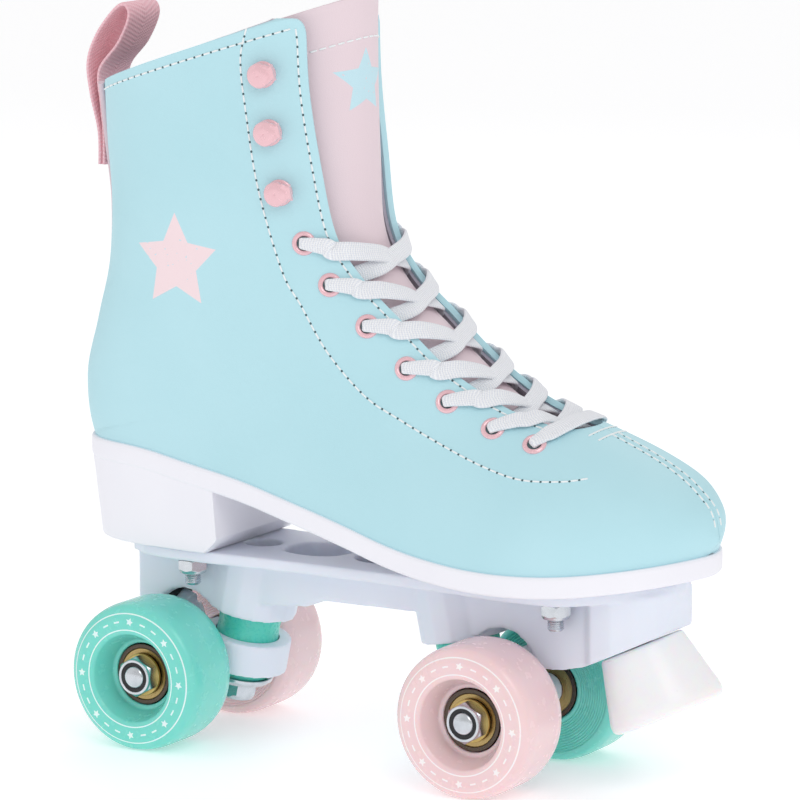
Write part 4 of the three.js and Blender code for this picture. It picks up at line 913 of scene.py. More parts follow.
def tongue_sheet(depth):
    rows = []
    for base in tongue_stations:
        line = []
        for share in tongue_shares:
            rise = max(0, 1 - base / ARCH_END)
            station = base - TONGUE_ARCH * rise * (share ** 2 - 0.5)
            half = max(throat_half(max(station, COLLAR_CORNER)), 6) + TONGUE_LAP
            side = OUTER if share < 0 else INNER
            point, normal = front_place(station, side, max(abs(share) * half, 0.3))
            if abs(share) < 0.02:
                point[1], normal = along(CENTRE_Y, station), unit(normal * [1, 0, 1])
            line.append(point - normal * depth)
        rows.append(line)
    grid = np.array(rows)
    middle = len(tongue_shares) // 2
    grid[:, middle] = (grid[:, middle - 1] + grid[:, middle + 1]) / 2
    return grid


tongue_outer, tongue_inner = tongue_sheet(TONGUE_DEPTH), tongue_sheet(TONGUE_DEPTH + TONGUE_WALL)
points, faces = thick_sheet(tongue_outer, tongue_inner)
badge = np.stack([points[:, 1] - TONGUE_STAR[0], points[:, 2] - TONGUE_STAR[1],
                  np.zeros(len(points))], axis=1)
tongue = make_mesh("tongue_leather", points, faces, "tongue", {"badge": badge})
bevelled(tongue, 0.8, 3)
placed(tongue, "tongue", "tongue")
tongue_normals = unit(np.cross(np.gradient(tongue_outer, axis=0), np.gradient(tongue_outer, axis=1)))
if tongue_normals[20, 30, 0] < 0:
    tongue_normals = -tongue_normals
hem = [(tongue_outer[3, j], tongue_normals[3, j]) for j in range(6, 55)]
sewn("tongue_stitching", stitch_places(hem, 3.2))


# %% [markdown]
# Backstay, piping and pull loop at the back of the boot. The backstay is a narrow leather
# strip that widens at the collar; a rolled pink edge borders it; the loop is ribbed webbing.
# The strip is laid on the boot's own sections, so it bends with the heel.

# %% Backstay
def back_place(station, side, sideways, lift):
    path = section(station, side)
    end = 0.0
    if sideways > 0:
        end = crossing(side * (path[:, 1] - along(CENTRE_Y, station)) - sideways, 0)
    i = int(end)
    run = path[i + 1] - path[i]
    normal = np.array([-1.0, 0, 0])
    if sideways > 0:
        normal = unit(np.array([-abs(run[1]), side * abs(run[0]), 0]))
    return at_index(path, end) + normal * lift, normal


BACKSTAY_AT = [0.05, 0.5, 1, 2, 3, 4, 5, 5.6]
BACKSTAY_HALF = [14, 11, 9, 6.5, 5, 4.5, 4.5, 4.5]
BACKSTAY_FACES = (1.7, 0.2)  # outer and inner face, out from the quarters
back_stations = np.linspace(BACKSTAY_AT[0], BACKSTAY_AT[-1], 60)
back_half = np.interp(back_stations, BACKSTAY_AT, BACKSTAY_HALF)


def back_sheet(lift):
    return np.array([[back_place(s, OUTER if w < 0 else INNER, abs(w) * half, lift)[0]
                      for w in np.linspace(-1, 1, 25)] for s, half in zip(back_stations, back_half)])


points, faces = thick_sheet(*(back_sheet(lift) for lift in BACKSTAY_FACES))
badge = np.full_like(points, NO_BADGE)
backstay = make_mesh("backstay_leather", points, faces, "leather", {"badge": badge})
bevelled(backstay, 0.4)
placed(backstay, "leather", "backstay")
print(backstay.name, len(backstay.data.polygons), "faces")


# %% [markdown]
# Bands. Piping, webbing and lace are all one flat band swept along a line, with rounded edges.
# A curve with a bevel profile could sweep them too, but a band made here also keeps how far
# along and across each point lies, in millimetres, and the weave's threads follow that.

# %% Piping and pull loop
def ribbon(path, normals, width, thickness, ring=16, flatness=0.35):
    """Loops of a flat band with rounded edges, and its weave coordinates."""
    path, normals = np.asarray(path, float), np.asarray(normals, float)
    count = len(path)
    width, thickness = (np.broadcast_to(v, count) for v in (width, thickness))
    way = unit(np.gradient(path, axis=0))
    across = unit(np.cross(way, normals))
    out = np.cross(across, way)
    angles = np.linspace(0, 2 * math.pi, ring, endpoint=False)
    a = np.sign(np.cos(angles)) * np.abs(np.cos(angles)) ** flatness
    b = np.sign(np.sin(angles)) * np.abs(np.sin(angles)) ** 0.8
    loops = (path[:, None] + across[:, None] * (a[None, :, None] * width[:, None, None] / 2)
             + out[:, None] * (b[None, :, None] * thickness[:, None, None] / 2))
    run = np.concatenate([[0], np.cumsum(np.linalg.norm(np.diff(path, axis=0), axis=1))])
    weave = np.stack([np.repeat(run, ring), (a[None] * width[:, None] / 2).ravel(),
                      np.zeros(count * ring)], axis=1)
    return loops, weave


PIPING_WIDTH, PIPING_BESIDE, PIPING_LIFT = 2.2, 1.7, 1.5
for side_name, side in SIDES.items():
    places = [back_place(s, side, half + PIPING_BESIDE, PIPING_LIFT)
              for s, half in zip(back_stations, back_half)]
    loops, _ = ribbon([p for p, _ in places], [n for _, n in places], PIPING_WIDTH, PIPING_WIDTH, 12, 0.9)
    pipe = make_mesh(f"{side_name}_piping_roll", *loft(loops), "piping", sharp=70)
    placed(pipe, "piping", f"{side_name}_piping")

WEBBING_WIDTH, WEBBING_THICKNESS, GAP, BACKSTAY_WALL = 20.0, 1.6, 0.3, 1.2
loop_front = along(BACK_X, 1) - 2 * GAP - BACKSTAY_WALL - GAP - WEBBING_THICKNESS / 2
rear, top = loop_front - WEBBING_THICKNESS - GAP, along(BACK_Z, 0)
loop_line = [(rear, top - 30), (rear - 0.2, top - 18), (rear - 3.6, top - 4), (rear - 4.6, top + 7),
             (rear - 0.5, top + 17), (rear + 7, top + 26), (rear + 11.5, top + 28),
             (rear + 13.2, top + 23.5), (rear + 8.5, top + 14), (loop_front - 1.6, top + 4),
             (loop_front - 1, top - 8), (loop_front, top - 18), (loop_front, top - 30)]
route = smooth_path([(x, 0, z) for x, z in loop_line], 150)
tangent = unit(np.gradient(route, axis=0))
loops, weave = ribbon(route, np.stack([-tangent[:, 2], 0 * tangent[:, 1], tangent[:, 0]], 1),
                      WEBBING_WIDTH, WEBBING_THICKNESS, 28, 0.14)
pull_loop = make_mesh("pull_loop_webbing", *loft(loops), "webbing", {"weave": weave}, sharp=60)
placed(pull_loop, "webbing", "pull_loop")
print("pull loop:", round(float(weave[:, 0].max())), "mm of webbing")

# %% [markdown]
# Lace. One flat woven lace: a bar over the lowest eyelets, then crossings that leave from
# under their own edge, cross the tongue, pass over the far edge and dive into the next eyelet.
# It is pulled tight, so nothing hangs: each stretch is a smooth band through a few places that
# are measured from the eyelets, and the tucks are left out where the leather hides them.

# %% Lace
EYELET_STATIONS = [9.5, 8.4, 7.1, 5.9, 4.9, 3.92, 3.04]
EYELET_SETBACK = 12
LACE_WIDTH, LACE_THICKNESS = 6.6, 1.3


def eyelet(row, side):
    station = EYELET_STATIONS[row]
    return front_place(station, side, setback_reach(station, EYELET_SETBACK))


def lace_run(places, widths, thicknesses, count=90):
    points = np.array([p for p, _ in places])
    normals = np.array([n for _, n in places])
    scale = np.stack([widths, thicknesses], axis=1)
    steps = np.linspace(0, len(points) - 1, count)
    fine = [np.array([[along(a[:, k], t) for k in range(a.shape[1])] for t in steps])
            for a in (points, normals, scale)]
    loops, weave = ribbon(fine[0], unit(fine[1]), fine[2][:, 0], fine[2][:, 1])
    return loft(loops), weave


def lifted(station, side, sideways, lift):
    facing = -side if sideways < 0 else side
    point, normal = front_place(station, facing, max(abs(sideways), 0.5))
    return point + normal * lift, normal


def crossing_run(row, side):
    first, last = EYELET_STATIONS[row], EYELET_STATIONS[row + 1]

    def at(share):
        return first + (last - first) * share

    start, end = (setback_reach(s, EYELET_SETBACK) for s in (first, last))
    edge_out, edge_in = throat_half(at(0.2)), throat_half(at(0.75))
    over = 0.9 if side == OUTER else -0.5
    hub, out = eyelet(row + 1, -side)
    inside, inward = eyelet(row, side)
    run = [(inside - inward * 3.6, inward), lifted(at(0.08), side, start - 3, -3.7),
           lifted(at(0.2), side, edge_out, -3.7),
           lifted(at(0.34), side, edge_out * 0.55, -3.9 + over * 0.4),
           lifted(at(0.5), side, 0.5, -3.4 + over),
           lifted(at(0.6), side, -edge_in * 0.45, -1.6 + over * 0.5),
           lifted(at(0.7), side, -edge_in + 1.8, 1.0), lifted(at(0.77), side, -edge_in - 2, 1.35),
           lifted(at(0.88), side, -(edge_in + end) / 2, 1.7)]
    run += [(hub + out * 1.1, out), (hub - out * 1.6, out)]
    return lace_run(run, [5.5] + [LACE_WIDTH] * 7 + [6.0, 4.2, 3.6],
                    [1.2] + [LACE_THICKNESS] * 7 + [1.5, 2.1, 2.6])


def bar_run():
    station = EYELET_STATIONS[0]
    (near, near_out), (far, far_out) = eyelet(0, OUTER), eyelet(0, INNER)
    edge = throat_half(station)
    reach = setback_reach(station, EYELET_SETBACK)
    run = [(near - near_out * 1.6, near_out), (near + near_out * 0.9, near_out)]
    run += [lifted(station, OUTER, w, 1.4) for w in (reach - 2.6, (reach + edge) / 2, edge, edge * 0.4)]
    run += [lifted(station, INNER, w, 1.4) for w in (edge * 0.4, edge, (reach + edge) / 2, reach - 2.6)]
    run += [(far + far_out * 0.9, far_out), (far - far_out * 1.6, far_out)]
    widths = [3.6, 4.0, 5.2] + [LACE_WIDTH] * 6 + [5.2, 4.0, 3.6]
    heights = [2.6, 2.2, 1.7] + [LACE_THICKNESS] * 6 + [1.7, 2.2, 2.6]
    return lace_run(run, widths, heights)


CROSSINGS = len(EYELET_STATIONS) - 1
runs = [bar_run()] + [crossing_run(row, side) for row in range(CROSSINGS) for side in SIDES.values()]
lace = make_mesh("lace_weave", *merged([shape for shape, _ in runs]), "lace",
                 {"weave": np.concatenate([weave for _, weave in runs])}, sharp=80)
placed(lace, "lace", "lace")
print("lace:", len(runs), "stretches,", round(sum(float(weave[:, 0].max()) for _, weave in runs)), "mm drawn")

# %% [markdown]
# Eyelets and hooks. Both are pressed from thin metal and lacquered pink. An eyelet is a turned
# ring round a dark disc of painted shade in its hole. A hook is a disc, a neck and a tilted head
# with a lip at its front, made as four closed shapes that share one object.

# %% Eyelets
ring = rounded([(2.4, -0.3), (4.3, -0.3), (4.2, 0.35), (3.4, 0.85), (2.6, 0.55)], 0.3)
eyelets = []
for side in SIDES.values():
    for row in range(len(EYELET_STATIONS)):
        point, normal = eyelet(row, side)
        station = EYELET_STATIONS[row]
        ahead, _ = front_place(station - 0.1, side, setback_reach(station, EYELET_SETBACK))
        eyelets.append((point, unit(ahead - point), normal))
placed(repeated("eyelets", eyelets, template(ring, 40), "lacquer"), "lacquer")
# A dark disc fills each eyelet's hole: painted shade.
well = template([(0, -0.3), (2.5, -0.3), (2.5, 0.12), (0, 0.12)], segments=24)
placed(repeated("eyelet_holes", eyelets, well, "painted_hole_shade"), "leather")

# %% Lace hooks
HOOK_STATIONS, HOOK_SETBACK = [2.28, 1.46, 0.7], 16
HOOK_DISC = rounded([(0, 0), (4.7, 0), (4.7, 0.7), (3.6, 1.1), (0, 1.1)], 0.3)
HOOK_NECK = rounded([(0, 0.5), (1.9, 0.5), (1.9, 3.6), (0, 3.6)], 0.3)
HOOK_HEAD = rounded([(0, 3.0), (4.2, 3.0), (4.6, 3.6), (4.2, 4.5), (2.4, 5.1), (0, 5.2)], 0.5)
HOOK_HEAD_FLATS, HOOK_TILT, NECK_BACK = 8.6, 0.16, 1.2
LIP = ((-1, 3.6, 3.2, 4.9), (3.2, 3.4, 3.2, 4.8), (4.4, 2.5, 3.1, 4.5),   # reach, half width, low, high
       (5.2, 2.6, 3.1, 4.7), (6.0, 2.9, 3.2, 4.9), (6.1, 2.8, 3.4, 4.7))


def hook_lip(centre, ahead, out):
    """Tab on a hook's head that points forward, pinched behind its end."""
    across = np.cross(out, ahead)
    loops = []
    for reach, half, low, high in LIP:
        corners = ((-1, low), (1, low), (1, high - 0.5), (0.75, high), (-0.75, high), (-1, high - 0.5))
        loops.append([centre + ahead * reach + across * (half * w) + out * h for w, h in corners])
    return make_mesh("lip", *loft(loops), "lacquer", sharp=25)


for side_name, side in SIDES.items():
    for number, station in enumerate(HOOK_STATIONS, 1):
        point, normal = front_place(station, side, setback_reach(station, HOOK_SETBACK))
        disc = turned("disc", HOOK_DISC, point + normal * 0.05, normal, "lacquer")
        front, _ = front_place(station, side, setback_reach(station, HOOK_SETBACK) - 4)
        tilt = unit(normal + unit(point - front) * HOOK_TILT)
        neck_at = point + unit(point - front) * NECK_BACK
        neck = turned("neck", HOOK_NECK, neck_at, normal, "lacquer", segments=48)
        head = turned("head", HOOK_HEAD, point + normal * 0.1, tilt, "lacquer", flats=HOOK_HEAD_FLATS)
        ahead = unit(front - point)
        lip = hook_lip(point, unit(ahead - tilt * np.dot(ahead, tilt)), tilt)
        hook = joined(f"{side_name}_lace_hook_{number}", [disc, neck, head, lip])
        placed(hook, "lacquer", f"{side_name}_hook_{number}")
print("hooks:", len(HOOK_STATIONS), "a side")

# %% [markdown]
# Sole unit. One white moulding: a slab that follows the foot, with a heel block flush under
# its back. Both are lofts of the same outline, drawn in by a margin that changes with height,
# so the sole always keeps its distance from the leather above it.

# %% Sole and footbed
PLAN_STATIONS = [HEEL + (7 - HEEL) * t ** 2 for t in np.linspace(0, 1, 26)] + list(
    np.linspace(7.1, TIP - 0.5, 90)) + [TIP - 0.5 * (1 - math.sin(t)) for t in np.linspace(0.2, 1.45, 10)]
SOLE_MARGIN, SOLE_THICKNESS, HEEL_BOTTOM, HEEL_FRONT = 1.2, 8, 72, -40.5


def plan_loop(margin):
    """Outline of the boot on the sole, heel to tip on the outer side and back on the inner."""
    edges = [np.array([upper_row(s, side, 2)[0] for s in PLAN_STATIONS]) for side in (OUTER, INNER)]
    tip = np.array([[along(BACK_X, TIP), along(CENTRE_Y, TIP), 0]])
    loop = np.concatenate([edges[0], tip, edges[1][:0:-1]])
    way = unit((np.roll(loop, -1, 0) - np.roll(loop, 1, 0)) * [1, 1, 0])
    grown = loop.copy()
    grown[:, 0] += way[:, 1] * margin
    grown[:, 1] -= way[:, 0] * margin
    return grown


def slab(layers):
    """Closed solid from (margin, height over x) layers, capped by joining mirrored points."""
    loops = []
    for margin, height in layers:
        loop = plan_loop(margin)
        loop[:, 2] = height(loop[:, 0])
        loops.append(loop)
    points, faces = loft(loops, caps=False)
    half = len(PLAN_STATIONS)
    count = 2 * half
    for base in (0, (len(layers) - 1) * count):
        for i in range(half):
            corners = [i, i + 1, (count - i - 1) % count, (count - i) % count]
            corners = [c for k, c in enumerate(corners) if c not in corners[:k]]
            faces.append(tuple(base + c for c in corners))
    return points, faces


def lifted_sole(rise):
    return lambda x: sole_height(x) + rise


welt, under = SOLE_MARGIN, -SOLE_THICKNESS
slab_layers = [(welt - 3, lifted_sole(-0.4)), (welt - 1.2, lifted_sole(-0.35)),
               (welt - 0.4, lifted_sole(-0.5)), (welt - 0.05, lifted_sole(-1.0)),
               (welt, lifted_sole(-1.8)), (welt, lifted_sole(under + 1.4)),
               (welt - 0.15, lifted_sole(under + 0.6)), (welt - 0.7, lifted_sole(under + 0.1)),
               (welt - 2, lifted_sole(under))]
sole_slab = make_mesh("sole_slab", *slab(slab_layers), "sole")


def heel_loop(margin, front, count=120):
    """The outline's heel end, cut off straight at the front."""
    loop = plan_loop(margin)
    half = len(PLAN_STATIONS)
    sides = []
    for part in (loop[:half], np.concatenate([loop[:1], loop[:half:-1]])):
        keep = part[part[:, 0] < front]
        y = np.interp(front, part[:60, 0], part[:60, 1])
        sides.append(evenly(np.concatenate([keep, [[front, y, 0]]]), count // 2))
    return np.concatenate([sides[0][::-1], sides[1][1:]])


def heel_layer(share, margin, front):
    loop = heel_loop(margin, front)
    top = sole_height(loop[:, 0]) - 2
    loop[:, 2] = HEEL_BOTTOM + (top - HEEL_BOTTOM) * share
    return loop


heel_loops = [heel_layer(s, m, f) for s, m, f in (
    (0, -3.2, HEEL_FRONT - 6.2), (0.01, -2.6, HEEL_FRONT - 6), (0.03, -2.3, HEEL_FRONT - 5),
    (0.17, -1.8, HEEL_FRONT - 0.5), (0.2, -1.7, HEEL_FRONT), (0.45, -0.7, HEEL_FRONT),
    (0.7, 0.2, HEEL_FRONT), (0.9, welt - 0.1, HEEL_FRONT), (1, welt + 0.02, HEEL_FRONT))]
heel_block = make_mesh("heel_block", *loft(heel_loops), "sole", sharp=25)
sole = joined("sole_moulding", [sole_slab, heel_block])
placed(sole, "sole", "sole_unit")

bed = [(-8.5, lifted_sole(0.4)), (-7.5, lifted_sole(0.4)), (-7, lifted_sole(1)), (-7, lifted_sole(3.2)),
       (-7.6, lifted_sole(3.8)), (-9, lifted_sole(4))]
placed(make_mesh("footbed_cloth", *slab(bed[::-1]), "lining"), "lining", "footbed")
print(sole.name, len(sole.data.polygons), "faces")

# %% [markdown]
# Plate and hangers are mouldings with soft corners. A voxel skin over their plain solids
# rounds every corner and melts the joins together, as a mould does. A bevel would have to be
# told about every edge, and fails where many meet.

# %% Moulded pieces
def moulded_piece(piece, name, material, voxel, rounds):
    skin = piece.modifiers.new("skin", "REMESH")
    skin.mode, skin.voxel_size = "VOXEL", voxel / 1000
    soft = piece.modifiers.new("soft", "SMOOTH")
    soft.factor, soft.iterations = 0.5, rounds
    freeze(piece)
    piece.name = name
    piece.data.materials.clear()
    piece.data.materials.append(MATERIALS[material])
    piece.data.shade_smooth()
    return piece


def copy_of(node):
    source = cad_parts[node]
    mesh = source.data.copy()
    made = bmesh.new()
    made.from_mesh(mesh)
    bmesh.ops.remove_doubles(made, verts=made.verts, dist=1e-6)
    made.to_mesh(mesh)
    made.free()
    piece = bpy.data.objects.new(node + "_copy", mesh)
    scene.collection.objects.link(piece)
    return piece


plate = moulded_piece(copy_of("plate"), "plate_moulding", "nylon", 0.75, 5)
placed(plate, "nylon", "plate")
print("plate", len(plate.data.polygons))

# %% [markdown]
# Trucks. Both are the same truck, and the front one is turned round. A truck is drawn about
# its own axle: the kingpin leans a little, and the hanger rocks about the line from the ring
# to its pivot. These few lines place everything else on it.

# %% Truck lines
AXLE_X, TRACK, AXLE_Z = 67.75, 63.5, 27.0
KINGPIN_TILT = 0.208
RING = np.array([19.75, 0, 32.0])
PIVOT = np.array([-12.0, 0, 49.5])
KINGPIN_UP = np.array([math.sin(KINGPIN_TILT), 0, math.cos(KINGPIN_TILT)])
STEER = unit(PIVOT - RING)
WHEEL_HALF = 13.75
print("truck: wheelbase", 2 * AXLE_X, "track", TRACK, "kingpin tilt",
      round(math.degrees(KINGPIN_TILT), 1), "degrees")


def truck_point(end, point):
    """A truck's own point moved to its place; the front truck is turned round."""
    x, y, z = point
    return np.array([end * AXLE_X - end * x, -end * y, z])


def rod(end, start, finish, radius, end_radius=None, segments=48):
    """Plain cone or cylinder between two points of a truck."""
    a, b = truck_point(end, start), truck_point(end, finish)
    first, second, _ = frame_about(b - a)
    angles = np.linspace(0, 2 * math.pi, segments, endpoint=False)
    circle = np.outer(np.cos(angles), first) + np.outer(np.sin(angles), second)
    return make_mesh("rod", *loft([a + circle * radius, b + circle * (end_radius or radius)]), "nylon")


def on_kingpin(height):
    return RING + KINGPIN_UP * height


def cut_by(piece, tools):
    for tool in tools:
        cut = piece.modifiers.new("cut", "BOOLEAN")
        cut.operation, cut.object, cut.solver = "DIFFERENCE", tool, "EXACT"
    freeze(piece)
    for tool in tools:
        bpy.data.objects.remove(tool)
    return piece


# %% [markdown]
# Hanger. The real one is cast in one piece, so rods for its housing, ring, ribs and arm are
# joined, skinned over and smoothed. The cushion seats and the kingpin's bore are cut last,
# which keeps their edges crisp.

# %% Hanger
RING_RADIUS, UPPER_SEAT, LOWER_SEAT, RING_BORE, WASHER_ROOM = 16.2, 11.8, 10.7, 5.4, 12.9
CUT_END = 20


def hanger(end, name):
    reach = TRACK / 2 - WHEEL_HALF - 0.5
    elbow = PIVOT + STEER * -9
    housing_line = [(-reach, 6.0), (-reach + 4, 6.3), (-8, 8.1), (8, 8.1), (reach - 4, 6.3), (reach, 6.0)]
    parts = []
    for (y0, r0), (y1, r1) in zip(housing_line, housing_line[1:]):
        parts.append(rod(end, (0, y0, AXLE_Z), (0, y1, AXLE_Z), r0, r1))
    parts.append(rod(end, on_kingpin(-6), on_kingpin(6), RING_RADIUS, segments=72))
    for y in (-7, 0, 7):
        parts.append(rod(end, (0, y, AXLE_Z + 1), (14, y * 1.2, 32), 5.2, 4.4))
    parts.append(rod(end, (-1, 0, AXLE_Z + 4), elbow, 6.2, 4.6))
    parts.append(rod(end, elbow, PIVOT, 4.6, 3.4))
    body = moulded_piece(joined("hanger", parts), name, "nylon", 0.6, 4)
    tools = [rod(end, on_kingpin(3), on_kingpin(CUT_END), UPPER_SEAT, segments=72),
             rod(end, on_kingpin(-3), on_kingpin(-CUT_END), LOWER_SEAT, segments=72),
             rod(end, on_kingpin(-CUT_END), on_kingpin(CUT_END), RING_BORE),
             rod(end, on_kingpin(-CUT_END), on_kingpin(-7.8), WASHER_ROOM, segments=72)]
    cut_by(body, tools)
    body.data.shade_smooth()
    body.data.set_sharp_from_angle(angle=math.radians(35))
    return body


# %% [markdown]
# Everything round is turned: wheels with a hub recess and a grooved inner face, bearings,
# nuts, axles, cushions, washers and the toe stop. A profile of radius and height holds just
# the corners of the real one, and rounding makes the small radii that catch the light.

# %% Outlines of the round pieces
THREAD_DEPTH = 0.3


def threads(radius, start, pitch, count):
    """Ridges of a screw thread, as points of a profile."""
    return [(radius - (THREAD_DEPTH if k % 2 else 0), start + pitch * k) for k in range(count)]


def ripple(start, stop, height, count, depth):
    """Concentric grooves between two radii."""
    radii = np.linspace(start, stop, count * 4 + 1)
    turns = [2 * math.pi * count * (r - start) / (stop - start) for r in radii]
    return [(r, height + depth * (0.5 - 0.5 * math.cos(turn))) for r, turn in zip(radii, turns)]


WHEEL_FACE = rounded([(11.3, -6.0), (11.3, 4.9), (12.9, 5.2), (16.0, 13.1), (17.2, WHEEL_HALF),
                      (22.4, WHEEL_HALF), (26.2, 11.6), (27, 7.4), (27, -8.2), (26, -12.2),
                      (23.8, -13.7)], 1.5, closed=False, steps=5)
WHEEL_OUTLINE = WHEEL_FACE + ripple(23.4, 12.6, -13.7, 12, 0.35) + [(11.9, -WHEEL_HALF), (11.3, -13.2)]
BEARING_OUTLINE = rounded([(4.2, 0), (5.5, 0), (5.7, -0.5), (9.3, -0.5), (9.5, 0), (11, 0), (11, -7),
                           (4.2, -7)], 0.2)
NUT_OUTLINE = rounded([(4.1, 0), (7.0, 0), (7.5, 0.5), (7.5, 3.4), (6.7, 3.9), (6.3, 4.9), (5.4, 4.9),
                       (5.3, 4.2), (4.1, 4.2)], 0.2)
NUT_FLATS, MOUNT_NUT_FLATS, KINGPIN_NUT_STRETCH = 13, 10, 1.3
INSERT_OUTLINE = [(4.12, 4.1), (5.32, 4.1), (5.32, 4.5), (4.12, 4.5)]
WASHER_OUTLINE = rounded([(4.2, 0), (7.6, 0), (7.6, 1.1), (4.2, 1.1)], 0.25)
UPPER_CUSHION = rounded([(4.3, 3.3), (11.2, 3.3), (11.5, 4.2), (11.1, 9), (11.5, 14.1), (11, 15),
                         (4.3, 15)], 0.7)
LOWER_CUSHION = rounded([(4.3, -9.5), (10.1, -9.5), (10.4, -8.8), (10.2, -6), (10.4, -3.9), (10, -3.3),
                         (4.3, -3.3)], 0.6)
CUP_WASHER = rounded([(4.3, -11.8), (10.5, -11.8), (12, -10.3), (12, -9.0), (11.4, -9.0), (11.2, -9.8),
                      (4.3, -9.8)], 0.35)
KINGPIN = ([(0, -19.5), (3.4, -19.5), (3.8, -19.1)] + threads(3.95, -18.8, 0.45, 12)
           + [(3.95, -12), (3.95, 29.9), (6.3, 30), (6.3, 35), (0, 35)])
PIVOT_CUP = rounded([(0, 6.2), (6, 6.2), (6, -5), (4.8, -5), (4.3, 0), (4.3, 2.5), (2.3, 4.5), (0, 4.5)],
                    0.3, closed=False)
print("wheel outline:", len(WHEEL_OUTLINE), "points")


# %% [markdown]
# Wheel sets. A wheel turns on two bearings and is kept on by a washer and a lock nut with a
# dark insert. The wheel and its bearings ride on the wheel's body, and the nut on the truck's,
# because it stays still while the wheel spins.

# %% Wheel sets
OUTER_SEAT, INNER_SEAT, WASHER_SEAT, NUT_SEAT = 5.1, -13.7, 5.4, 6.5  # out from a wheel's middle


def wheel_set(end_name, end, side_name, side, colour_name):
    centre = np.array([end * AXLE_X, side * TRACK / 2, AXLE_Z])
    out = np.array([0, side, 0.0])
    tag = f"{end_name}_{side_name}"
    slot = f"{colour_name}_wheel"
    body = f"{tag}_wheel_set"
    wheel = turned(f"{tag}_wheel_cast", WHEEL_OUTLINE, centre, out, slot, segments=128, sharp=50)
    placed(wheel, slot, f"{tag}_wheel", body=body)
    for where, seat, facing in (("outer", OUTER_SEAT, out), ("inner", INNER_SEAT, -out)):
        bearing = turned(f"{tag}_{where}_bearing_races", BEARING_OUTLINE, centre + out * seat, facing,
                         "bearing")
        placed(bearing, "bearing", f"{tag}_{where}_bearing", body=body)
    washer = turned("washer", WASHER_OUTLINE, centre + out * WASHER_SEAT, out, "gold")
    nut = turned("nut", NUT_OUTLINE, centre + out * NUT_SEAT, out, "steel", flats=NUT_FLATS)
    insert = turned("insert", INSERT_OUTLINE, centre + out * NUT_SEAT, out, "cup")
    nut_set = joined(f"{tag}_axle_nut_set", [nut, washer, insert])
    placed(nut_set, "steel", f"{tag}_axle_nut", body=f"{end_name}_truck")


# %% [markdown]
# One truck: hanger and axle ride on the truck's body. The kingpin, cushions, cup washer, nut
# and pivot cup stay with the plate. The cushions take up the steering on the real skate.

# %% Both trucks
AXLE_OVERHANG, KINGPIN_NUT_AT = 11.9, -12.1


def truck(end_name, end, outer_colour, inner_colour):
    body = f"{end_name}_truck"
    placed(hanger(end, f"{end_name}_hanger_moulding"), "nylon", f"{end_name}_hanger", body=body)
    tip = TRACK / 2 + AXLE_OVERHANG
    half = ([(0, tip), (3.2, tip), (3.8, tip - 0.5)] + threads(3.95, tip - 0.9, -0.45, 14)
            + [(3.95, tip - 8)])
    line = half + [(r, -y) for r, y in half[::-1]]
    axle = turned(f"{end_name}_axle_rod", line, truck_point(end, (0, 0, AXLE_Z)), (0, 1, 0), "steel")
    placed(axle, "steel", f"{end_name}_axle", body=body)
    up, centre = truck_point(end, KINGPIN_UP) - truck_point(end, (0, 0, 0)), truck_point(end, RING)
    for name, outline, material in (
            ("upper_cushion", UPPER_CUSHION, "cushion"), ("lower_cushion", LOWER_CUSHION, "cushion"),
            ("cup_washer", CUP_WASHER, "steel"), ("kingpin", KINGPIN, "steel")):
        piece = turned(f"{end_name}_{name}_turned", outline, centre, up, material)
        placed(piece, material, f"{end_name}_{name}")
    nut = turned(f"{end_name}_kingpin_lock_nut", [(r, KINGPIN_NUT_STRETCH * h) for r, h in NUT_OUTLINE],
                 centre + up * KINGPIN_NUT_AT, -up, "steel", flats=NUT_FLATS)
    placed(nut, "steel", f"{end_name}_kingpin_nut")
    steer = truck_point(end, STEER) - truck_point(end, (0, 0, 0))
    cup = turned(f"{end_name}_pivot_cup_rubber", PIVOT_CUP, truck_point(end, PIVOT), steer, "cup")
    placed(cup, "cup", f"{end_name}_pivot_cup")
    wheel_set(end_name, end, "outer", OUTER, outer_colour)
    wheel_set(end_name, end, "inner", INNER, inner_colour)


truck("rear", -1, "teal", "pink")
truck("front", 1, "pink", "teal")
print("axles reach", TRACK / 2 + AXLE_OVERHANG, "mm to each side")

# %% [markdown]
# Mounting bolts. Four bolts hold the plate under the sole: their flat heads are sunk in it,
# under the footbed, and their lock nuts show below the plate. The threads are plain rings, which
# look the same at this size as a true helix and have far fewer faces.

# %% Bolts
MOUNT_NUT = rounded([(3.1, 0), (5.6, 0), (5.8, 0.4), (5.8, 3.4), (5.0, 3.9), (4.6, 4.9), (3.1, 5)], 0.25)
MOUNT_NUT_TOP, HEAD_SINK = 67.2, 3.2
BOLTS = {"rear_outer": (-57.5, -19.5), "rear_inner": (-57.5, 19.5), "front_outer": (91, -19.5),
         "front_inner": (91, 19.5)}
for name, (x, y) in BOLTS.items():
    head = sole_height(x) - HEAD_SINK
    shank = [(0, 58), (2.3, 58), (2.6, 58.4)] + threads(2.95, 58.8, 0.4, 24)
    line = shank + [(2.95, 70), (2.95, head), (7, head), (6.4, head + 1.4), (0, head + 1.5)]
    bolt = turned(f"{name}_bolt_turned", line, (x, y, 0), (0, 0, 1), "steel", segments=48)
    placed(bolt, "steel", f"{name}_bolt")
    nut = turned(f"{name}_lock_nut", MOUNT_NUT, (x, y, MOUNT_NUT_TOP), (0, 0, -1), "steel",
                 flats=MOUNT_NUT_FLATS)
    placed(nut, "steel", f"{name}_nut")
print("bolts:", len(BOLTS))

# %% [markdown]
# Toe stop: a milky urethane cone with a rounded rim, held by a bolt in its recess. Both are
# turned about one leaning line, so they always share their middle.

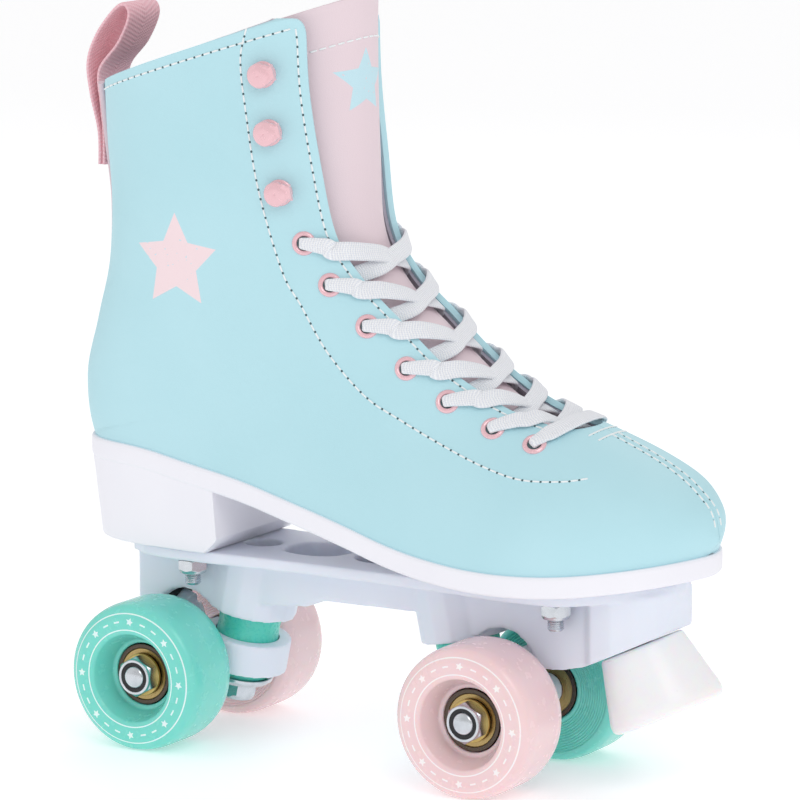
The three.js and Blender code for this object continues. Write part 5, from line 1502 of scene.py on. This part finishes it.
# %% Toe stop
STOP_TOP, STOP_TILT = np.array([114.0, 0, 52.0]), 0.447
stop_axis = np.array([math.sin(STOP_TILT), 0, -math.cos(STOP_TILT)])
stop_line = rounded([(4.3, 0.3), (15, 0.3), (20.6, 22.6), (20.2, 25.4), (17.8, 26.4), (7.6, 26.4),
                     (7.1, 25.6), (7.1, 17.4), (4.3, 17.4)], 1.4, steps=5)
toe_stop = turned("toe_stop_urethane", stop_line, STOP_TOP, stop_axis, "stop", segments=128)
placed(toe_stop, "stop", "toe_stop")
bolt_line = rounded([(0, -12), (3.95, -12), (3.95, 17.7), (6.8, 17.7), (6.8, 22), (5.8, 22.4), (3.2, 22.4),
                     (3.0, 19.6), (0, 19.5)], 0.3, closed=False)
stop_bolt = turned("toe_stop_bolt_turned", bolt_line, STOP_TOP, stop_axis, "steel")
placed(stop_bolt, "steel", "toe_stop_bolt")
print("toe stop leans", round(math.degrees(STOP_TILT), 1), "degrees")

# %% [markdown]
# Stage: a pale floor under a white sky. A large soft light stands in front, a weaker one fills
# the heel side and a third one lights the edges from the inner side. The floor glows a little
# and the view transform is the plain one, so that white stays white.

# %% Floor, sky and lights
FLOOR_HALF, FLOOR_GLOW, SKY_STRENGTH = 6, 0.3, 0.72
floor_mesh = bpy.data.meshes.new("floor")
floor_mesh.from_pydata([(x * FLOOR_HALF, y * FLOOR_HALF, 0) for x, y in ((-1, -1), (1, -1), (1, 1), (-1, 1))],
                       [], [(0, 1, 2, 3)])
floor = bpy.data.objects.new("floor", floor_mesh)
scene.collection.objects.link(floor)
floor_mesh.materials.append(finish("pale_floor", lambda tree: {
    "Roughness": 0.55 + noise(tree, 4, 2) * 0.1}, Base_Color=(0.93, 0.93, 0.94, 1),
    Emission_Color=(1, 1, 1, 1), Emission_Strength=FLOOR_GLOW))
world = bpy.data.worlds.new("studio")
world.use_nodes = True
world.node_tree.nodes["Background"].inputs["Color"].default_value = (1, 1, 1, 1)
world.node_tree.nodes["Background"].inputs["Strength"].default_value = SKY_STRENGTH
scene.world = world
scene.view_settings.view_transform = "Standard"


def soft_light(name, position, target, power, size):
    lamp = bpy.data.lights.new(name, "AREA")
    lamp.energy, lamp.size = power, size
    light = bpy.data.objects.new(name, lamp)
    light.location = position
    light.rotation_euler = (Vector(target) - Vector(position)).to_track_quat("-Z", "Y").to_euler()
    scene.collection.objects.link(light)


soft_light("key", (1.0, -1.0, 1.3), (0, 0, 0.12), 5.5, 0.9)
soft_light("fill", (-1.2, -0.9, 0.7), (0, 0, 0.12), 1.0, 1.2)
soft_light("rim", (-0.3, 1.2, 1.1), (0, 0, 0.15), 2.5, 1.0)

# %% [markdown]
# Camera. It stands in front on the outer side, a little above the skate, and a long lens keeps
# the wheels' shapes true. Its place is the same point that the stitches are dropped from.

# %% Camera
LENS, SENSOR, AIM = 204.4, 36, (17.4, 0, 128.8)
camera_data = bpy.data.cameras.new("camera")
camera_data.lens, camera_data.sensor_width = LENS, SENSOR
camera = bpy.data.objects.new("camera", camera_data)
camera.location = to_frame(EYE)
aim = to_frame(AIM)
camera.rotation_euler = (Vector(aim) - camera.location).to_track_quat("-Z", "Y").to_euler()
scene.collection.objects.link(camera)
scene.camera = camera
print("camera:", [round(c, 3) for c in camera.location])
